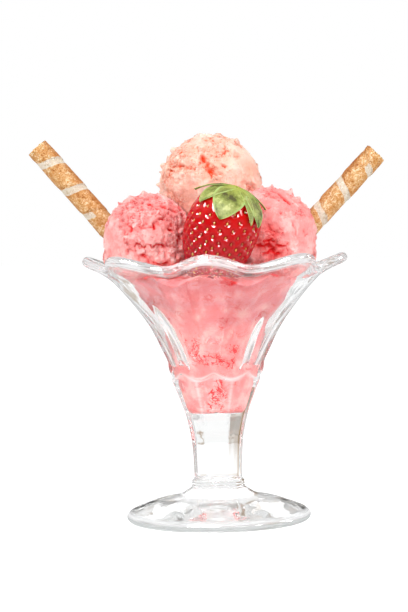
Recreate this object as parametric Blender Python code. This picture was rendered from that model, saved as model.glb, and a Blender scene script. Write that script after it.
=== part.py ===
"""A strawberry sundae in its footed glass.

The glass is a pressed one: a wavy eight-lobed rim, eight flutes down the bowl, an octagonal
stem and a round foot. It is filled with ice cream and heaped with three scoops, a strawberry
with its leaves and two rolled wafers. Metres, +Z up. The origin is the middle of the foot's
flat underside, and the strawberry faces -Y.
"""

from math import atan2, cos, exp, hypot, pi, radians, sin

import bmesh
import bpy
from mathutils import Vector, noise

# ---- Driving dimensions -------------------------------------------------------------------

GAP = 0.0004                    # clearance kept between two pieces that touch

# Glass: the rim waves between lobes (high and wide) and valleys (low and narrow).
LOBES = 8
LOBE_TURN = radians(-3.5)       # azimuth of the front lobe, measured from -Y towards +X
STEPS_PER_LOBE = 6
BEAD_RADIUS = 0.0025
LOBE_BEAD = (0.0625, 0.1275)    # (radius, height) of the middle of the rounded rim bead
VALLEY_BEAD = (0.0520, 0.1225)
LOBE_BEAD_START = radians(-65)  # where the outer wall runs into the bead
VALLEY_BEAD_START = radians(-45)
BEAD_STEPS = 4

FOOT_RADIUS = 0.045
FOOT_EDGE = 0.0025              # radius of the foot's rounded edge

# Foot and stem rings as (radius, height), from the foot's top side up to the octagon.
FOOT_SLOPE = ((0.0310, 0.0098), (0.0200, 0.0122), (0.0160, 0.0146), (0.0128, 0.0160))
STEM_RINGS = ((0.0131, 0.0168), (0.0124, 0.0176), (0.0131, 0.0184), (0.0124, 0.0192))
# Corners of the octagonal stem and lower bowl as (radius, height).
OCTAGON = ((0.0125, 0.0215), (0.0129, 0.0340), (0.0140, 0.0430), (0.0165, 0.0535),
           (0.0186, 0.0587), (0.0214, 0.0655))
FACET_TOP_CORNER = 0.02295      # corner radius where the facets end under the flutes
FACET_TOP = (0.0722, 0.0690)    # height of that edge at a ridge and at a flute's middle

# Outer wall of the fluted bowl: ridge (radius, height), flute's middle (radius, height),
# and how crisp the ridge is, from 0 for a soft wave to 1 for a sharp edge.
OUTER_WALL = (((0.0229, 0.0730), (0.0212, 0.0699), 1.0),
              ((0.0239, 0.0785), (0.0219, 0.0775), 1.0),
              ((0.0265, 0.0840), (0.0240, 0.0835), 1.0),
              ((0.0298, 0.0910), (0.0272, 0.0900), 1.0),
              ((0.0339, 0.0980), (0.0310, 0.0960), 0.9),
              ((0.0383, 0.1040), (0.0350, 0.1010), 0.75),
              ((0.0430, 0.1100), (0.0393, 0.1060), 0.5),
              ((0.0482, 0.1160), (0.0438, 0.1110), 0.25),
              ((0.0531, 0.1206), (0.0470, 0.1146), 0.1),
              ((0.0580, 0.1230), (0.0505, 0.1186), 0.0))
# Inner wall, from under the bead down: lobe (radius, height), valley (radius, height).
INNER_WALL = (((0.0540, 0.1266), (0.0463, 0.1203)),
              ((0.0485, 0.1226), (0.0425, 0.1164)),
              ((0.0430, 0.1170), (0.0385, 0.1115)),
              ((0.0370, 0.1100), (0.0340, 0.1060)),
              ((0.0315, 0.1030), (0.0295, 0.1010)),
              ((0.0265, 0.0955), (0.0253, 0.0950)),
              ((0.0216, 0.0860), (0.0210, 0.0860)),
              ((0.0175, 0.0780), (0.0175, 0.0780)),
              ((0.0142, 0.0700), (0.0142, 0.0700)),
              ((0.0118, 0.0600), (0.0118, 0.0600)),
              ((0.0102, 0.0552), (0.0102, 0.0552)),
              ((0.0080, 0.0538), (0.0080, 0.0538)))
FLOOR_HEIGHT = 0.0538

# Ice cream in the glass: a turned body with a mound on top.
FILL_SEGMENTS = 24
FILL_SHOULDER = 0.0455          # radius where the mound leaves the wall
MOUND_BASE = 0.1245
MOUND_RISE = 0.0125
MOUND_CENTRE = (-0.002, 0.012)
MOUND_SPREAD = 0.018
MOUND_RINGS = (0.95, 0.82, 0.62, 0.40, 0.20)
MOUND_EDGE_POWER = 6            # how sharply the mound rounds down to the wall

# Scoops: centre, radius, skirt (how far its torn lower edge stands out), and a lump seed.
SCOOPS = {
    "scoop_left": ((-0.0315, -0.0080, 0.1380), 0.0222, 0.0036, 1.7),
    "scoop_right": ((0.0264, -0.0040, 0.1380), 0.0242, 0.0022, 5.3),
    "scoop_top": ((-0.0010, 0.0120, 0.1640), 0.0256, 0.0014, 9.1),
}
SCOOP_SEGMENTS = 24
SCOOP_RINGS = 12
SKIRT_ANGLE = radians(-27)      # how far below the scoop's middle the skirt lies
SKIRT_SPREAD = radians(11)
LUMP_SIZE = 0.0090
LUMP_HEIGHT = 0.0009
SCOOP_CLEARANCE = 0.0018        # height kept between a scoop's facets and the wavy rim

# Strawberry: its tip, the way it points from tip to leaves, and its profile.
BERRY_TIP = (-0.0049, -0.0315, 0.1188)
BERRY_LEAN = radians(20.5)      # towards +X
BERRY_NOD = radians(12)         # towards -Y
BERRY_LENGTH = 0.045
BERRY_RADIUS = 0.0172
BERRY_WIDEST = 0.60             # widest point, as a fraction of the length from the tip
BERRY_TIP_POWER = 2.15
BERRY_TOP_POWER = 2.3
BERRY_SEGMENTS = 20
BERRY_RINGS = 12

SEPALS = 8
SEPAL_REACH = 0.0185            # from the middle of the leaves to a sepal's tip
SEPAL_NOTCH = 0.0065            # from the middle to the notch between two sepals
SEPAL_THICKNESS = 0.0007
SEPAL_LIFT = 0.0006
SEPAL_STEPS = 6
SEPAL_RINGS = 3

# Rolled wafers: outer end, lean from the vertical, and the roll's own sizes.
WAFERS = {
    "wafer_left": ((-0.0865, 0.0100, 0.1847), radians(-40.5)),
    "wafer_right": ((0.0818, 0.0160, 0.1791), radians(43.6)),
}
WAFER_LENGTH = 0.110
WAFER_RADIUS = 0.0058
WAFER_BORE = 0.0034
WAFER_STEP = 0.0005             # height of the step where the wound strip overlaps itself
WAFER_PITCH = 0.0164            # length of roll that one turn of the strip covers
WAFER_SEGMENTS = 12
WAFER_STEPS_PER_TURN = 3

# ---- Materials ----------------------------------------------------------------------------


def material(name, colour, roughness, transmission=0.0, metallic=0.0):
    """One Principled material."""
    made = bpy.data.materials.new(name)
    made.use_nodes = True
    shader = made.node_tree.nodes["Principled BSDF"]
    shader.inputs["Base Color"].default_value = (*colour, 1.0)
    shader.inputs["Roughness"].default_value = roughness
    shader.inputs["Metallic"].default_value = metallic
    shader.inputs["Transmission Weight"].default_value = transmission
    made.diffuse_color = (*colour, 1.0)
    return made


# ---- Shared shape helpers -----------------------------------------------------------------


def clear_scene():
    """Remove whatever objects the file opened with."""
    for thing in list(bpy.data.objects):
        bpy.data.objects.remove(thing, do_unlink=True)


def add_object(name, mesh_builder, surface, crease=radians(35)):
    """Turn a finished bmesh into an object with outward faces and smooth shading."""
    bmesh.ops.recalc_face_normals(mesh_builder, faces=mesh_builder.faces)
    mesh = bpy.data.meshes.new(name)
    mesh_builder.to_mesh(mesh)
    mesh_builder.free()
    mesh.shade_smooth()
    mesh.set_sharp_from_angle(angle=crease)
    if surface:
        mesh.materials.append(surface)
    made = bpy.data.objects.new(name, mesh)
    bpy.context.scene.collection.objects.link(made)
    return made


def skin_rings(rings, first_pole, last_pole):
    """A closed bmesh through equal rings of points, ended by a pole at each end."""
    shape = bmesh.new()
    loops = [[shape.verts.new(point) for point in ring] for ring in rings]
    count = len(rings[0])
    for lower, upper in zip(loops, loops[1:]):
        for i in range(count):
            j = (i + 1) % count
            shape.faces.new((lower[i], lower[j], upper[j], upper[i]))
    for pole, loop in ((first_pole, loops[0]), (last_pole, loops[-1])):
        middle = shape.verts.new(pole)
        for i in range(count):
            shape.faces.new((middle, loop[(i + 1) % count], loop[i]))
    return shape


def turned_ring(radius, height, segments):
    """A level circle of points about the Z axis."""
    angles = [2 * pi * i / segments for i in range(segments)]
    return [(radius * cos(a), radius * sin(a), height) for a in angles]


def blend(a, b, share):
    """The point that lies share of the way from a to b."""
    return tuple(p + (q - p) * share for p, q in zip(a, b))


def cut(target, cutter):
    """Subtract cutter from target with a Boolean modifier."""
    modifier = target.modifiers.new("cut " + cutter.name, "BOOLEAN")
    modifier.operation = "DIFFERENCE"
    modifier.solver = "EXACT"
    modifier.object = cutter


def as_cutter(thing):
    """Keep an object out of the model, for cutting only."""
    thing.hide_render = True
    thing.display_type = "WIRE"
    return thing


# ---- Glass --------------------------------------------------------------------------------


def glass_angles():
    """Angles of the glass's points, measured from the middle of the front lobe."""
    count = LOBES * STEPS_PER_LOBE
    return [2 * pi * i / count for i in range(count)]


def at_azimuth(radius, height, angle):
    """A point of the glass at an angle from the middle of its front lobe."""
    azimuth = LOBE_TURN + angle
    return (radius * sin(azimuth), -radius * cos(azimuth), height)


def waved_ring(lobe, valley, crispness=0.0):
    """A ring that waves from the lobes' (radius, height) to the valleys' one."""
    ring = []
    for angle in glass_angles():
        wave = (1 - cos(LOBES * angle)) / 2
        scallop = abs(sin(LOBES * angle / 2))
        share = wave + (scallop - wave) * crispness
        ring.append(at_azimuth(*blend(lobe, valley, share), angle))
    return ring


def octagon_ring(corner, ridge_height, corner_height):
    """An eight-sided ring whose flat sides face the lobes."""
    side = 2 * pi / LOBES
    apothem = corner * cos(side / 2)
    ring = []
    for angle in glass_angles():
        from_middle = (angle + side / 2) % side - side / 2
        share = abs(sin(LOBES * angle / 2))
        height = ridge_height + (corner_height - ridge_height) * share
        ring.append(at_azimuth(apothem / cos(from_middle), height, angle))
    return ring


def bead_rings():
    """Rings around the rounded rim, from its underside over the top to its inner side."""
    rings = []
    for step in range(BEAD_STEPS + 1):
        turn = pi * step / BEAD_STEPS
        points = []
        for centre, start in ((LOBE_BEAD, LOBE_BEAD_START), (VALLEY_BEAD, VALLEY_BEAD_START)):
            angle = start + turn
            points.append((centre[0] + BEAD_RADIUS * cos(angle),
                           centre[1] + BEAD_RADIUS * sin(angle)))
        rings.append(waved_ring(*points))
    return rings


def foot_rings():
    """The flat underside, the rounded edge, the slope and the rings round the stem."""
    edge_middle = FOOT_RADIUS - FOOT_EDGE
    outline = [(edge_middle - FOOT_EDGE / 2, 0.0)]
    for degrees in (-35, 10, 65):
        angle = radians(degrees)
        outline.append((edge_middle + FOOT_EDGE * cos(angle), FOOT_EDGE * (1 + sin(angle))))
    outline += FOOT_SLOPE + STEM_RINGS
    return [waved_ring(point, point) for point in outline]


def make_glass(surface):
    """The whole glass: foot, octagonal stem, fluted bowl, rim bead and inner wall."""
    rings = foot_rings()
    rings += [octagon_ring(radius, height, height) for radius, height in OCTAGON]
    rings.append(octagon_ring(FACET_TOP_CORNER, *FACET_TOP))
    rings += [waved_ring(ridge, flute, crisp) for ridge, flute, crisp in OUTER_WALL]
    rings += bead_rings()
    rings += [waved_ring(lobe, valley) for lobe, valley in INNER_WALL]
    shape = skin_rings(rings, (0, 0, 0), (0, 0, FLOOR_HEIGHT))
    return add_object("glass", shape, surface, crease=radians(28))


def wall_height(radius, angle=pi / LOBES):
    """Height of the inner wall or rim at a radius, by default in the middle of a valley."""
    share = (1 - cos(LOBES * angle)) / 2
    bead_radius, bead_height = blend(LOBE_BEAD, VALLEY_BEAD, share)
    wall = [blend(lobe, valley, share) for lobe, valley in reversed(INNER_WALL)]
    wall.append((bead_radius, bead_height + BEAD_RADIUS))
    for (lower_r, lower_z), (upper_r, upper_z) in zip(wall, wall[1:]):
        if radius < upper_r:
            return lower_z + (upper_z - lower_z) * (radius - lower_r) / (upper_r - lower_r)
    return wall[-1][1]


# ---- Ice cream ----------------------------------------------------------------------------


def mound_height(x, y):
    """Height of the heaped ice cream under the scoops, rounded down to the wall."""
    off = (x - MOUND_CENTRE[0]) ** 2 + (y - MOUND_CENTRE[1]) ** 2
    ripple = noise.noise(Vector((x, y, 0.0)) / LUMP_SIZE) * LUMP_HEIGHT
    heap = MOUND_BASE + MOUND_RISE * exp(-off / (2 * MOUND_SPREAD ** 2)) + ripple
    edge = (hypot(x, y) / FILL_SHOULDER) ** MOUND_EDGE_POWER
    return heap + (wall_height(FILL_SHOULDER) - heap) * edge


def make_fill(surface):
    """The ice cream that fills the glass, heaped up to carry the scoops."""
    clearance = 1.5 * GAP
    floor = FLOOR_HEIGHT + GAP
    wall = [valley for _, valley in reversed(INNER_WALL) if valley[0] < FILL_SHOULDER]
    wall.append((FILL_SHOULDER, wall_height(FILL_SHOULDER)))
    rings = [turned_ring(radius - clearance, max(height, floor), FILL_SEGMENTS)
             for radius, height in wall]
    for share in MOUND_RINGS:
        ring = turned_ring(FILL_SHOULDER * share, 0.0, FILL_SEGMENTS)
        rings.append([(x, y, mound_height(x, y)) for x, y, _ in ring])
    shape = skin_rings(rings, (0, 0, floor), (0, 0, mound_height(0, 0)))
    return add_object("ice_cream_fill", shape, surface, crease=radians(60))


def contact_planes(name):
    """Where a scoop is pressed flat by each scoop it leans on: (direction, distance)."""
    centre, radius = Vector(SCOOPS[name][0]), SCOOPS[name][1]
    planes = []
    for other, (other_centre, other_radius, _, _) in SCOOPS.items():
        if other == name:
            continue
        away = Vector(other_centre) - centre
        span = away.length
        reach = (span ** 2 + radius ** 2 - other_radius ** 2) / (2 * span)
        planes.append((away.normalized(), reach - GAP / 2))
    return planes


def scoop_reach(direction, name, planes):
    """Distance from a scoop's centre to its surface in one direction."""
    _, radius, skirt, seed = SCOOPS[name]
    slope = direction.z - sin(SKIRT_ANGLE)
    reach = radius + skirt * exp(-(slope / SKIRT_SPREAD) ** 2)
    spot = direction * (radius / LUMP_SIZE) + Vector((seed, 0, 0))
    reach += LUMP_HEIGHT * noise.fractal(spot, 1.0, 2.0, 2)
    for normal, distance in planes:
        facing = direction.dot(normal)
        if facing > 0:
            reach = min(reach, distance / facing)
    return reach


def clear_of_glass(point, clearance):
    """A point, lifted where needed to lie that far above the glass's wall or rim."""
    radius = hypot(point.x, point.y)
    angle = atan2(point.x, -point.y) - LOBE_TURN
    lowest = wall_height(radius, angle) + clearance
    return Vector((point.x, point.y, max(point.z, lowest)))


def make_scoop(name, surface, swell=0.0):
    """One scoop: a ball with a torn skirt, pressed flat against the scoops it touches."""
    centre = Vector(SCOOPS[name][0])
    planes = contact_planes(name)

    def surface_point(direction):
        reach = scoop_reach(direction, name, planes) + swell
        clearance = SCOOP_CLEARANCE - swell
        return clear_of_glass(centre + direction * reach, clearance) - centre

    rings = []
    for i in range(1, SCOOP_RINGS):
        level = -pi / 2 + pi * i / SCOOP_RINGS
        circle = turned_ring(cos(level), sin(level), SCOOP_SEGMENTS)
        rings.append([surface_point(Vector(spot)) for spot in circle])
    shape = skin_rings(rings, surface_point(Vector((0, 0, -1))), surface_point(Vector((0, 0, 1))))
    made = add_object(name + ("_cutter" if swell else ""), shape, surface, crease=radians(60))
    made.location = centre
    return made


# ---- Strawberry ---------------------------------------------------------------------------


def berry_radius(share):
    """Radius of the strawberry at a fraction of its length from the tip."""
    if share < BERRY_WIDEST:
        off, power = 1 - share / BERRY_WIDEST, BERRY_TIP_POWER
    else:
        off, power = (share - BERRY_WIDEST) / (1 - BERRY_WIDEST), BERRY_TOP_POWER
    return BERRY_RADIUS * max(1 - off ** power, 0.0) ** (1 / power)


def berry_outline(count):
    """Points (radius, height) on the strawberry's outline, closer together at both ends."""
    shares = [(1 - cos(pi * i / count)) / 2 for i in range(count + 1)]
    return [(berry_radius(share), BERRY_LENGTH * share) for share in shares]


def stand_like_berry(thing):
    """Set an object, modelled tip down at its origin, where the strawberry lies."""
    direction = Vector((sin(BERRY_LEAN) * cos(BERRY_NOD), -sin(BERRY_NOD),
                        cos(BERRY_LEAN) * cos(BERRY_NOD)))
    thing.location = BERRY_TIP
    thing.rotation_euler = direction.to_track_quat("Z", "Y").to_euler()


def make_berry(surface, swell=0.0):
    """The strawberry, blunt at the tip and full at the shoulders."""
    outline = berry_outline(BERRY_RINGS)[1:-1]
    middle = BERRY_LENGTH / 2
    rings = []
    for radius, height in outline:
        lift = swell * (height - middle) / middle
        rings.append(turned_ring(radius + swell, height + lift, BERRY_SEGMENTS))
    shape = skin_rings(rings, (0, 0, -swell), (0, 0, BERRY_LENGTH + swell))
    name = "strawberry" + ("_cutter" if swell else "")
    made = add_object(name, shape, surface, crease=radians(60))
    stand_like_berry(made)
    return made


def berry_skin_point(run, lift):
    """(radius, height) at a distance run over the skin from the top, raised by lift."""
    outline = berry_outline(80)[::-1]
    for start, end in zip(outline, outline[1:]):
        step = Vector(end) - Vector(start)
        if run <= step.length:
            spot = Vector(start) + step * (run / step.length)
            outward = Vector((-step.y, step.x)).normalized()
            return tuple(spot + outward * lift)
        run -= step.length
    return outline[-1]


def make_calyx(surface):
    """The ring of leaves, draped over the strawberry's shoulders."""
    count = SEPALS * SEPAL_STEPS

    def draped_ring(share, lift):
        ring = []
        for i in range(count):
            angle = 2 * pi * i / count
            reach = SEPAL_NOTCH + (SEPAL_REACH - SEPAL_NOTCH) * abs(cos(SEPALS * angle / 2)) ** 0.8
            radius, height = berry_skin_point(reach * share, lift)
            ring.append((radius * cos(angle), radius * sin(angle), height))
        return ring

    shares = [(i + 1) / SEPAL_RINGS for i in range(SEPAL_RINGS)]
    top = SEPAL_LIFT + SEPAL_THICKNESS
    rings = [draped_ring(share, SEPAL_LIFT) for share in shares]
    rings += [draped_ring(share, top) for share in reversed(shares)]
    poles = [(0, 0, BERRY_LENGTH + lift) for lift in (SEPAL_LIFT, top)]
    made = add_object("strawberry_calyx", skin_rings(rings, *poles), surface)
    stand_like_berry(made)
    return made


# ---- Rolled wafers ------------------------------------------------------------------------


def stand_like_wafer(thing, name):
    """Set an object, modelled upwards from its origin, along a wafer roll."""
    end, lean = WAFERS[name]
    direction = Vector((sin(lean), 0, cos(lean)))
    thing.location = Vector(end) - direction * WAFER_LENGTH
    thing.rotation_euler = (0, lean, 0)


def make_wafer(name, surface):
    """A hollow roll wound from a strip, which leaves a step winding along its outside."""
    steps = round(WAFER_LENGTH / WAFER_PITCH * WAFER_STEPS_PER_TURN)
    shape = bmesh.new()

    def wall(radius_at):
        loops = []
        for i in range(steps + 1):
            twist = -2 * pi * i / WAFER_STEPS_PER_TURN
            loop = []
            for j in range(WAFER_SEGMENTS):
                angle = 2 * pi * j / WAFER_SEGMENTS
                radius = radius_at(j / WAFER_SEGMENTS)
                loop.append(shape.verts.new((radius * cos(angle + twist),
                                             radius * sin(angle + twist),
                                             WAFER_LENGTH * i / steps)))
            loops.append(loop)
        return loops

    def join(first, second, offset=0):
        for j in range(WAFER_SEGMENTS):
            k = (j + 1) % WAFER_SEGMENTS
            shape.faces.new((first[j], first[k], second[(k + offset) % WAFER_SEGMENTS],
                             second[(j + offset) % WAFER_SEGMENTS]))

    shift = WAFER_SEGMENTS // WAFER_STEPS_PER_TURN
    outside = wall(lambda share: WAFER_RADIUS - WAFER_STEP * share)
    inside = [[shape.verts.new((WAFER_BORE * cos(2 * pi * j / WAFER_SEGMENTS),
                                WAFER_BORE * sin(2 * pi * j / WAFER_SEGMENTS), height))
               for j in range(WAFER_SEGMENTS)] for height in (0, WAFER_LENGTH)]
    for lower, upper in zip(outside, outside[1:]):
        join(lower, upper, shift)
    join(*inside)
    for i, end in ((0, inside[0]), (-1, inside[1])):
        turned = -(steps if i else 0) * shift
        join(outside[i], end, turned)
    made = add_object(name, shape, surface)
    stand_like_wafer(made, name)
    return made


def make_wafer_cutter(name):
    """The hole that a wafer roll makes in the ice cream."""
    rings = [turned_ring(WAFER_RADIUS + GAP, height, 2 * WAFER_SEGMENTS)
             for height in (-GAP, WAFER_LENGTH + GAP)]
    poles = [(0, 0, -GAP), (0, 0, WAFER_LENGTH + GAP)]
    made = add_object(name + "_cutter", skin_rings(rings, *poles), None)
    stand_like_wafer(made, name)
    return as_cutter(made)


# ---- The sundae ---------------------------------------------------------------------------


def main():
    """Build every piece and hang them on one empty."""
    clear_scene()
    clear_glass = material("clear glass", (0.97, 0.99, 0.98), 0.03, transmission=1.0)
    strawberry_ice = material("strawberry ice cream", (0.93, 0.42, 0.42), 0.55)
    peach_ice = material("peach ice cream", (0.96, 0.68, 0.56), 0.55)
    berry_red = material("strawberry skin", (0.70, 0.02, 0.03), 0.25)
    leaf_green = material("strawberry leaf", (0.38, 0.52, 0.16), 0.5)
    wafer_brown = material("baked wafer", (0.72, 0.42, 0.17), 0.7)

    fill = make_fill(strawberry_ice)
    scoops = {name: make_scoop(name, peach_ice if name == "scoop_top" else strawberry_ice)
              for name in SCOOPS}
    pieces = [make_glass(clear_glass), fill, *scoops.values(),
              make_berry(berry_red), make_calyx(leaf_green)]
    pieces += [make_wafer(name, wafer_brown) for name in WAFERS]

    hard_cutters = [as_cutter(make_berry(None, swell=GAP))]
    hard_cutters += [make_wafer_cutter(name) for name in WAFERS]
    scoop_cutters = [as_cutter(make_scoop(name, None, swell=2 * GAP)) for name in SCOOPS]
    for cutter in scoop_cutters + hard_cutters:
        cut(fill, cutter)
    for scoop in scoops.values():
        for cutter in hard_cutters:
            cut(scoop, cutter)

    holder = bpy.data.objects.new("sundae", None)
    bpy.context.scene.collection.objects.link(holder)
    for piece in pieces + scoop_cutters + hard_cutters:
        piece.parent = holder


main()
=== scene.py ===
"""Looks of the strawberry sundae: glass, ice cream, strawberry, leaves and rolled wafers."""

from math import atan2, cos, pi, radians, sin, sqrt

import bmesh
import bpy
import numpy as np
from mathutils import Euler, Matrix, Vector, noise


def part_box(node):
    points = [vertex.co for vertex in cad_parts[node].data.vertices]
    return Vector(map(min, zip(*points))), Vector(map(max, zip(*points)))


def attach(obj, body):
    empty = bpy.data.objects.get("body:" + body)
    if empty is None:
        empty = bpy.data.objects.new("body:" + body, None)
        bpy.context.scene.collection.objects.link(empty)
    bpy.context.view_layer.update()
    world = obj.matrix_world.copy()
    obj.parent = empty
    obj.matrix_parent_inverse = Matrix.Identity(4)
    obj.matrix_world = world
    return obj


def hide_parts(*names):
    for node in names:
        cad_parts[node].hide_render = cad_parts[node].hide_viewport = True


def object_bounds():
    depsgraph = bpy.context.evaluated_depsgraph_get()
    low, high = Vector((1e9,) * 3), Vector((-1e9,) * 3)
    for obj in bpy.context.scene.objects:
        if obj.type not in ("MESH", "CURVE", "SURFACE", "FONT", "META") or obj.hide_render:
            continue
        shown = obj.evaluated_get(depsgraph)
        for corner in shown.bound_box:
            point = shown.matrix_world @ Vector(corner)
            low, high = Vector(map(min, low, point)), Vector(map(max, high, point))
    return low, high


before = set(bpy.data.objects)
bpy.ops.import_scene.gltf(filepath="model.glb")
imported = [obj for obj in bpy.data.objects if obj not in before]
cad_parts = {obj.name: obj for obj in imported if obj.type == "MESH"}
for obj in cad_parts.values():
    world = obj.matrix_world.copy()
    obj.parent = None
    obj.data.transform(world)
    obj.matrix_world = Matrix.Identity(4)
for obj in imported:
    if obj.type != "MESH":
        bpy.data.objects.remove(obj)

MM = 0.001
CAD_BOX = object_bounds()
GLASS_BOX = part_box("glass")
GLASS_HEIGHT = GLASS_BOX[1][2]
TABLE = CAD_BOX[0][2]

# ---- Small maths helpers ------------------------------------------------------------------


def smooth(low, high, value):
    """0 below low, 1 above high, with a soft step between."""
    share = np.clip((value - low) / (high - low), 0, 1)
    return share * share * (3 - 2 * share)


def lerp(a, b, share):
    """The value that lies share of the way from a to b."""
    return a + (b - a) * share


def wrapped(angle):
    """The same angle between -pi and pi."""
    return (angle + pi) % (2 * pi) - pi


def perlin(points, size, shift=0.0):
    """Perlin noise, about -1 to 1, at each point, for lumps of about that size."""
    return np.array([noise.noise(Vector(p) / size + Vector((shift, 0, 0))) for p in points])


def fractal(points, size, octaves, shift=0.0):
    """Noise summed over octaves that halve in size and height."""
    offset = Vector((shift, 0, 0))
    return np.array([noise.fractal(Vector(p) / size + offset, 1.0, 2.0, octaves)
                     for p in points])


def crumbs(points, size, shift=0.0):
    """(edge, height): 0 at the joints between crumbs to 1 inside, and a height per crumb."""
    edges = np.empty(len(points))
    heights = np.empty(len(points))
    offset = Vector((shift, shift, 0))
    for i, p in enumerate(points):
        distances, nearest = noise.voronoi(Vector(p) / size + offset)
        edges[i] = distances[1] - distances[0]
        heights[i] = noise.cell(nearest[0] * 7.13)
    return np.clip(edges * 2.2, 0, 1), heights


def near_line(points, line, width):
    """1 on a broken line of points, falling softly to 0 over width."""
    line = np.asarray(line, float)
    nearest = np.full(len(points), np.inf)
    ends = list(zip(line[:-1], line[1:])) or [(line[0], line[0])]
    for start, end in ends:
        run = end - start
        along = (points - start) @ run / max(run @ run, 1e-12)
        spot = start + np.clip(along, 0, 1)[:, None] * run
        nearest = np.minimum(nearest, np.linalg.norm(points - spot, axis=1))
    return np.exp(-(nearest / width) ** 2)


# ---- Mesh helpers -------------------------------------------------------------------------


def new_object(name, vertices, faces, surface, crease=None, **attributes):
    """A smooth-shaded mesh object, with a float attribute for each named array."""
    mesh = bpy.data.meshes.new(name)
    mesh.from_pydata([tuple(v) for v in vertices], [], faces)
    mesh.validate()
    mesh.shade_smooth()
    if crease:
        mesh.set_sharp_from_angle(angle=crease)
    for key, values in attributes.items():
        layer = mesh.attributes.new(key, "FLOAT", "POINT")
        layer.data.foreach_set("value", np.asarray(values, dtype=np.float32))
    mesh.materials.append(surface)
    made = bpy.data.objects.new(name, mesh)
    bpy.context.scene.collection.objects.link(made)
    return made


def ring_faces(rows, columns, first=0):
    """Quads that join rows of points, each row closed on itself."""
    faces = []
    for base in range(first, first + (rows - 1) * columns, columns):
        for j in range(columns):
            k = (j + 1) % columns
            faces.append((base + j, base + k, base + columns + k, base + columns + j))
    return faces


def pole_faces(pole, first, columns, flip):
    """Triangles from one point to a closed row."""
    faces = []
    for j in range(columns):
        k = (j + 1) % columns
        faces.append((pole, first + k, first + j) if flip else (pole, first + j, first + k))
    return faces


def closed_rings(rings, low_pole, high_pole):
    """(vertices, faces) of a closed skin over rings that run upwards, between two poles."""
    rows, columns = rings.shape[:2]
    vertices = np.vstack([rings.reshape(-1, 3), [low_pole], [high_pole]])
    faces = ring_faces(rows, columns)
    faces += pole_faces(rows * columns, 0, columns, True)
    faces += pole_faces(rows * columns + 1, (rows - 1) * columns, columns, False)
    return vertices, faces


def place(piece, node, body="root"):
    """Let a piece stand for a CAD node, on the same body."""
    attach(piece, body)
    if node:
        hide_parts(node)
    return piece


# ---- Materials ----------------------------------------------------------------------------


class Nodes:
    """Short names for building one node tree."""

    def __init__(self, tree):
        self.tree = tree

    def give(self, value, socket):
        """Link a node's output to a socket, or set the socket's own value."""
        if isinstance(value, bpy.types.NodeSocket):
            self.tree.links.new(value, socket)
        elif socket.type == "RGBA":
            socket.default_value = (*value, 1.0)
        else:
            socket.default_value = value

    def add(self, kind, inputs=None, **settings):
        """A new node, its inputs given values or other nodes' outputs."""
        node = self.tree.nodes.new(kind)
        for key, value in settings.items():
            setattr(node, key, value)
        for key, value in (inputs or {}).items():
            self.give(value, node.inputs[key])
        return node

    def attribute(self, name):
        return self.add("ShaderNodeAttribute", attribute_name=name).outputs["Fac"]

    def coordinates(self, kind="Object"):
        return self.add("ShaderNodeTexCoord").outputs[kind]

    def parts(self, vector):
        """The X, Y and Z outputs of a vector."""
        return self.add("ShaderNodeSeparateXYZ", {0: vector}).outputs

    def vector(self, **parts):
        return self.add("ShaderNodeCombineXYZ", parts).outputs[0]

    def noise(self, scale, detail=2.0, roughness=0.5, distortion=0.0, vector=None):
        inputs = {"Vector": vector or self.coordinates(), "Scale": scale, "Detail": detail,
                  "Roughness": roughness, "Distortion": distortion}
        return self.add("ShaderNodeTexNoise", inputs).outputs["Fac"]

    def ramp(self, source, *stops, interpolation="EASE"):
        """A colour ramp over source, with these (position, colour) stops and no others."""
        node = self.add("ShaderNodeValToRGB", {"Fac": source})
        node.color_ramp.interpolation = interpolation
        ends = node.color_ramp.elements
        for end, (position, colour) in zip(ends, (stops[0], stops[-1])):
            end.position, end.color = position, (*colour, 1.0)
        for position, colour in stops[1:-1]:
            ends.new(position).color = (*colour, 1.0)
        return node.outputs["Color"]

    def grey_ramp(self, source, start, end):
        """A ramp between two (position, grey) stops."""
        return self.ramp(source, *[(position, (grey,) * 3) for position, grey in (start, end)])

    def across(self, part, stops, **settings):
        """A colour ramp over one part of a direction, with stops from -1 to 1."""
        stops = [((position + 1) / 2, colour) for position, colour in stops]
        return self.ramp(self.math("MULTIPLY_ADD", part, 0.5, 0.5), *stops, **settings)

    def fade(self, source, zero, one):
        """0 where source is at zero, 1 where it is at one, with a soft step between."""
        return self.add("ShaderNodeMapRange", {"Value": source, "From Min": zero, "From Max": one},
                        interpolation_type="SMOOTHSTEP").outputs["Result"]

    def math(self, operation, *values):
        inputs = dict(enumerate(values))
        return self.add("ShaderNodeMath", inputs, operation=operation).outputs["Value"]

    def times(self, a, b):
        return self.math("MULTIPLY", a, b)

    def most(self, a, b):
        return self.math("MAXIMUM", a, b)

    def vary(self, base, source, amount):
        """base, plus amount times how far source lies above a half."""
        return self.math("MULTIPLY_ADD", self.math("SUBTRACT", source, 0.5), amount, base)

    def line(self, source, level, edge, core):
        """1 along the lines where source is near level, within core, to 0 beyond edge."""
        off = self.math("ABSOLUTE", self.math("SUBTRACT", source, level))
        return self.fade(off, edge, core)

    def mix(self, share, a, b, blend="MIX"):
        return self.add("ShaderNodeMix", {"Factor": share, "A": a, "B": b}, data_type="RGBA",
                        blend_type=blend).outputs["Result"]

    def blend(self, share, a, b):
        """A mix of two shaders."""
        return self.add("ShaderNodeMixShader", {0: share, 1: a, 2: b}).outputs[0]

    def bump(self, height, strength, distance):
        return self.add("ShaderNodeBump", {"Height": height, "Strength": strength,
                                           "Distance": distance}).outputs["Normal"]

    def rays(self, kind):
        """1 for one kind of ray, such as "Is Shadow Ray", and 0 for others."""
        return self.add("ShaderNodeLightPath").outputs[kind]


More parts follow.
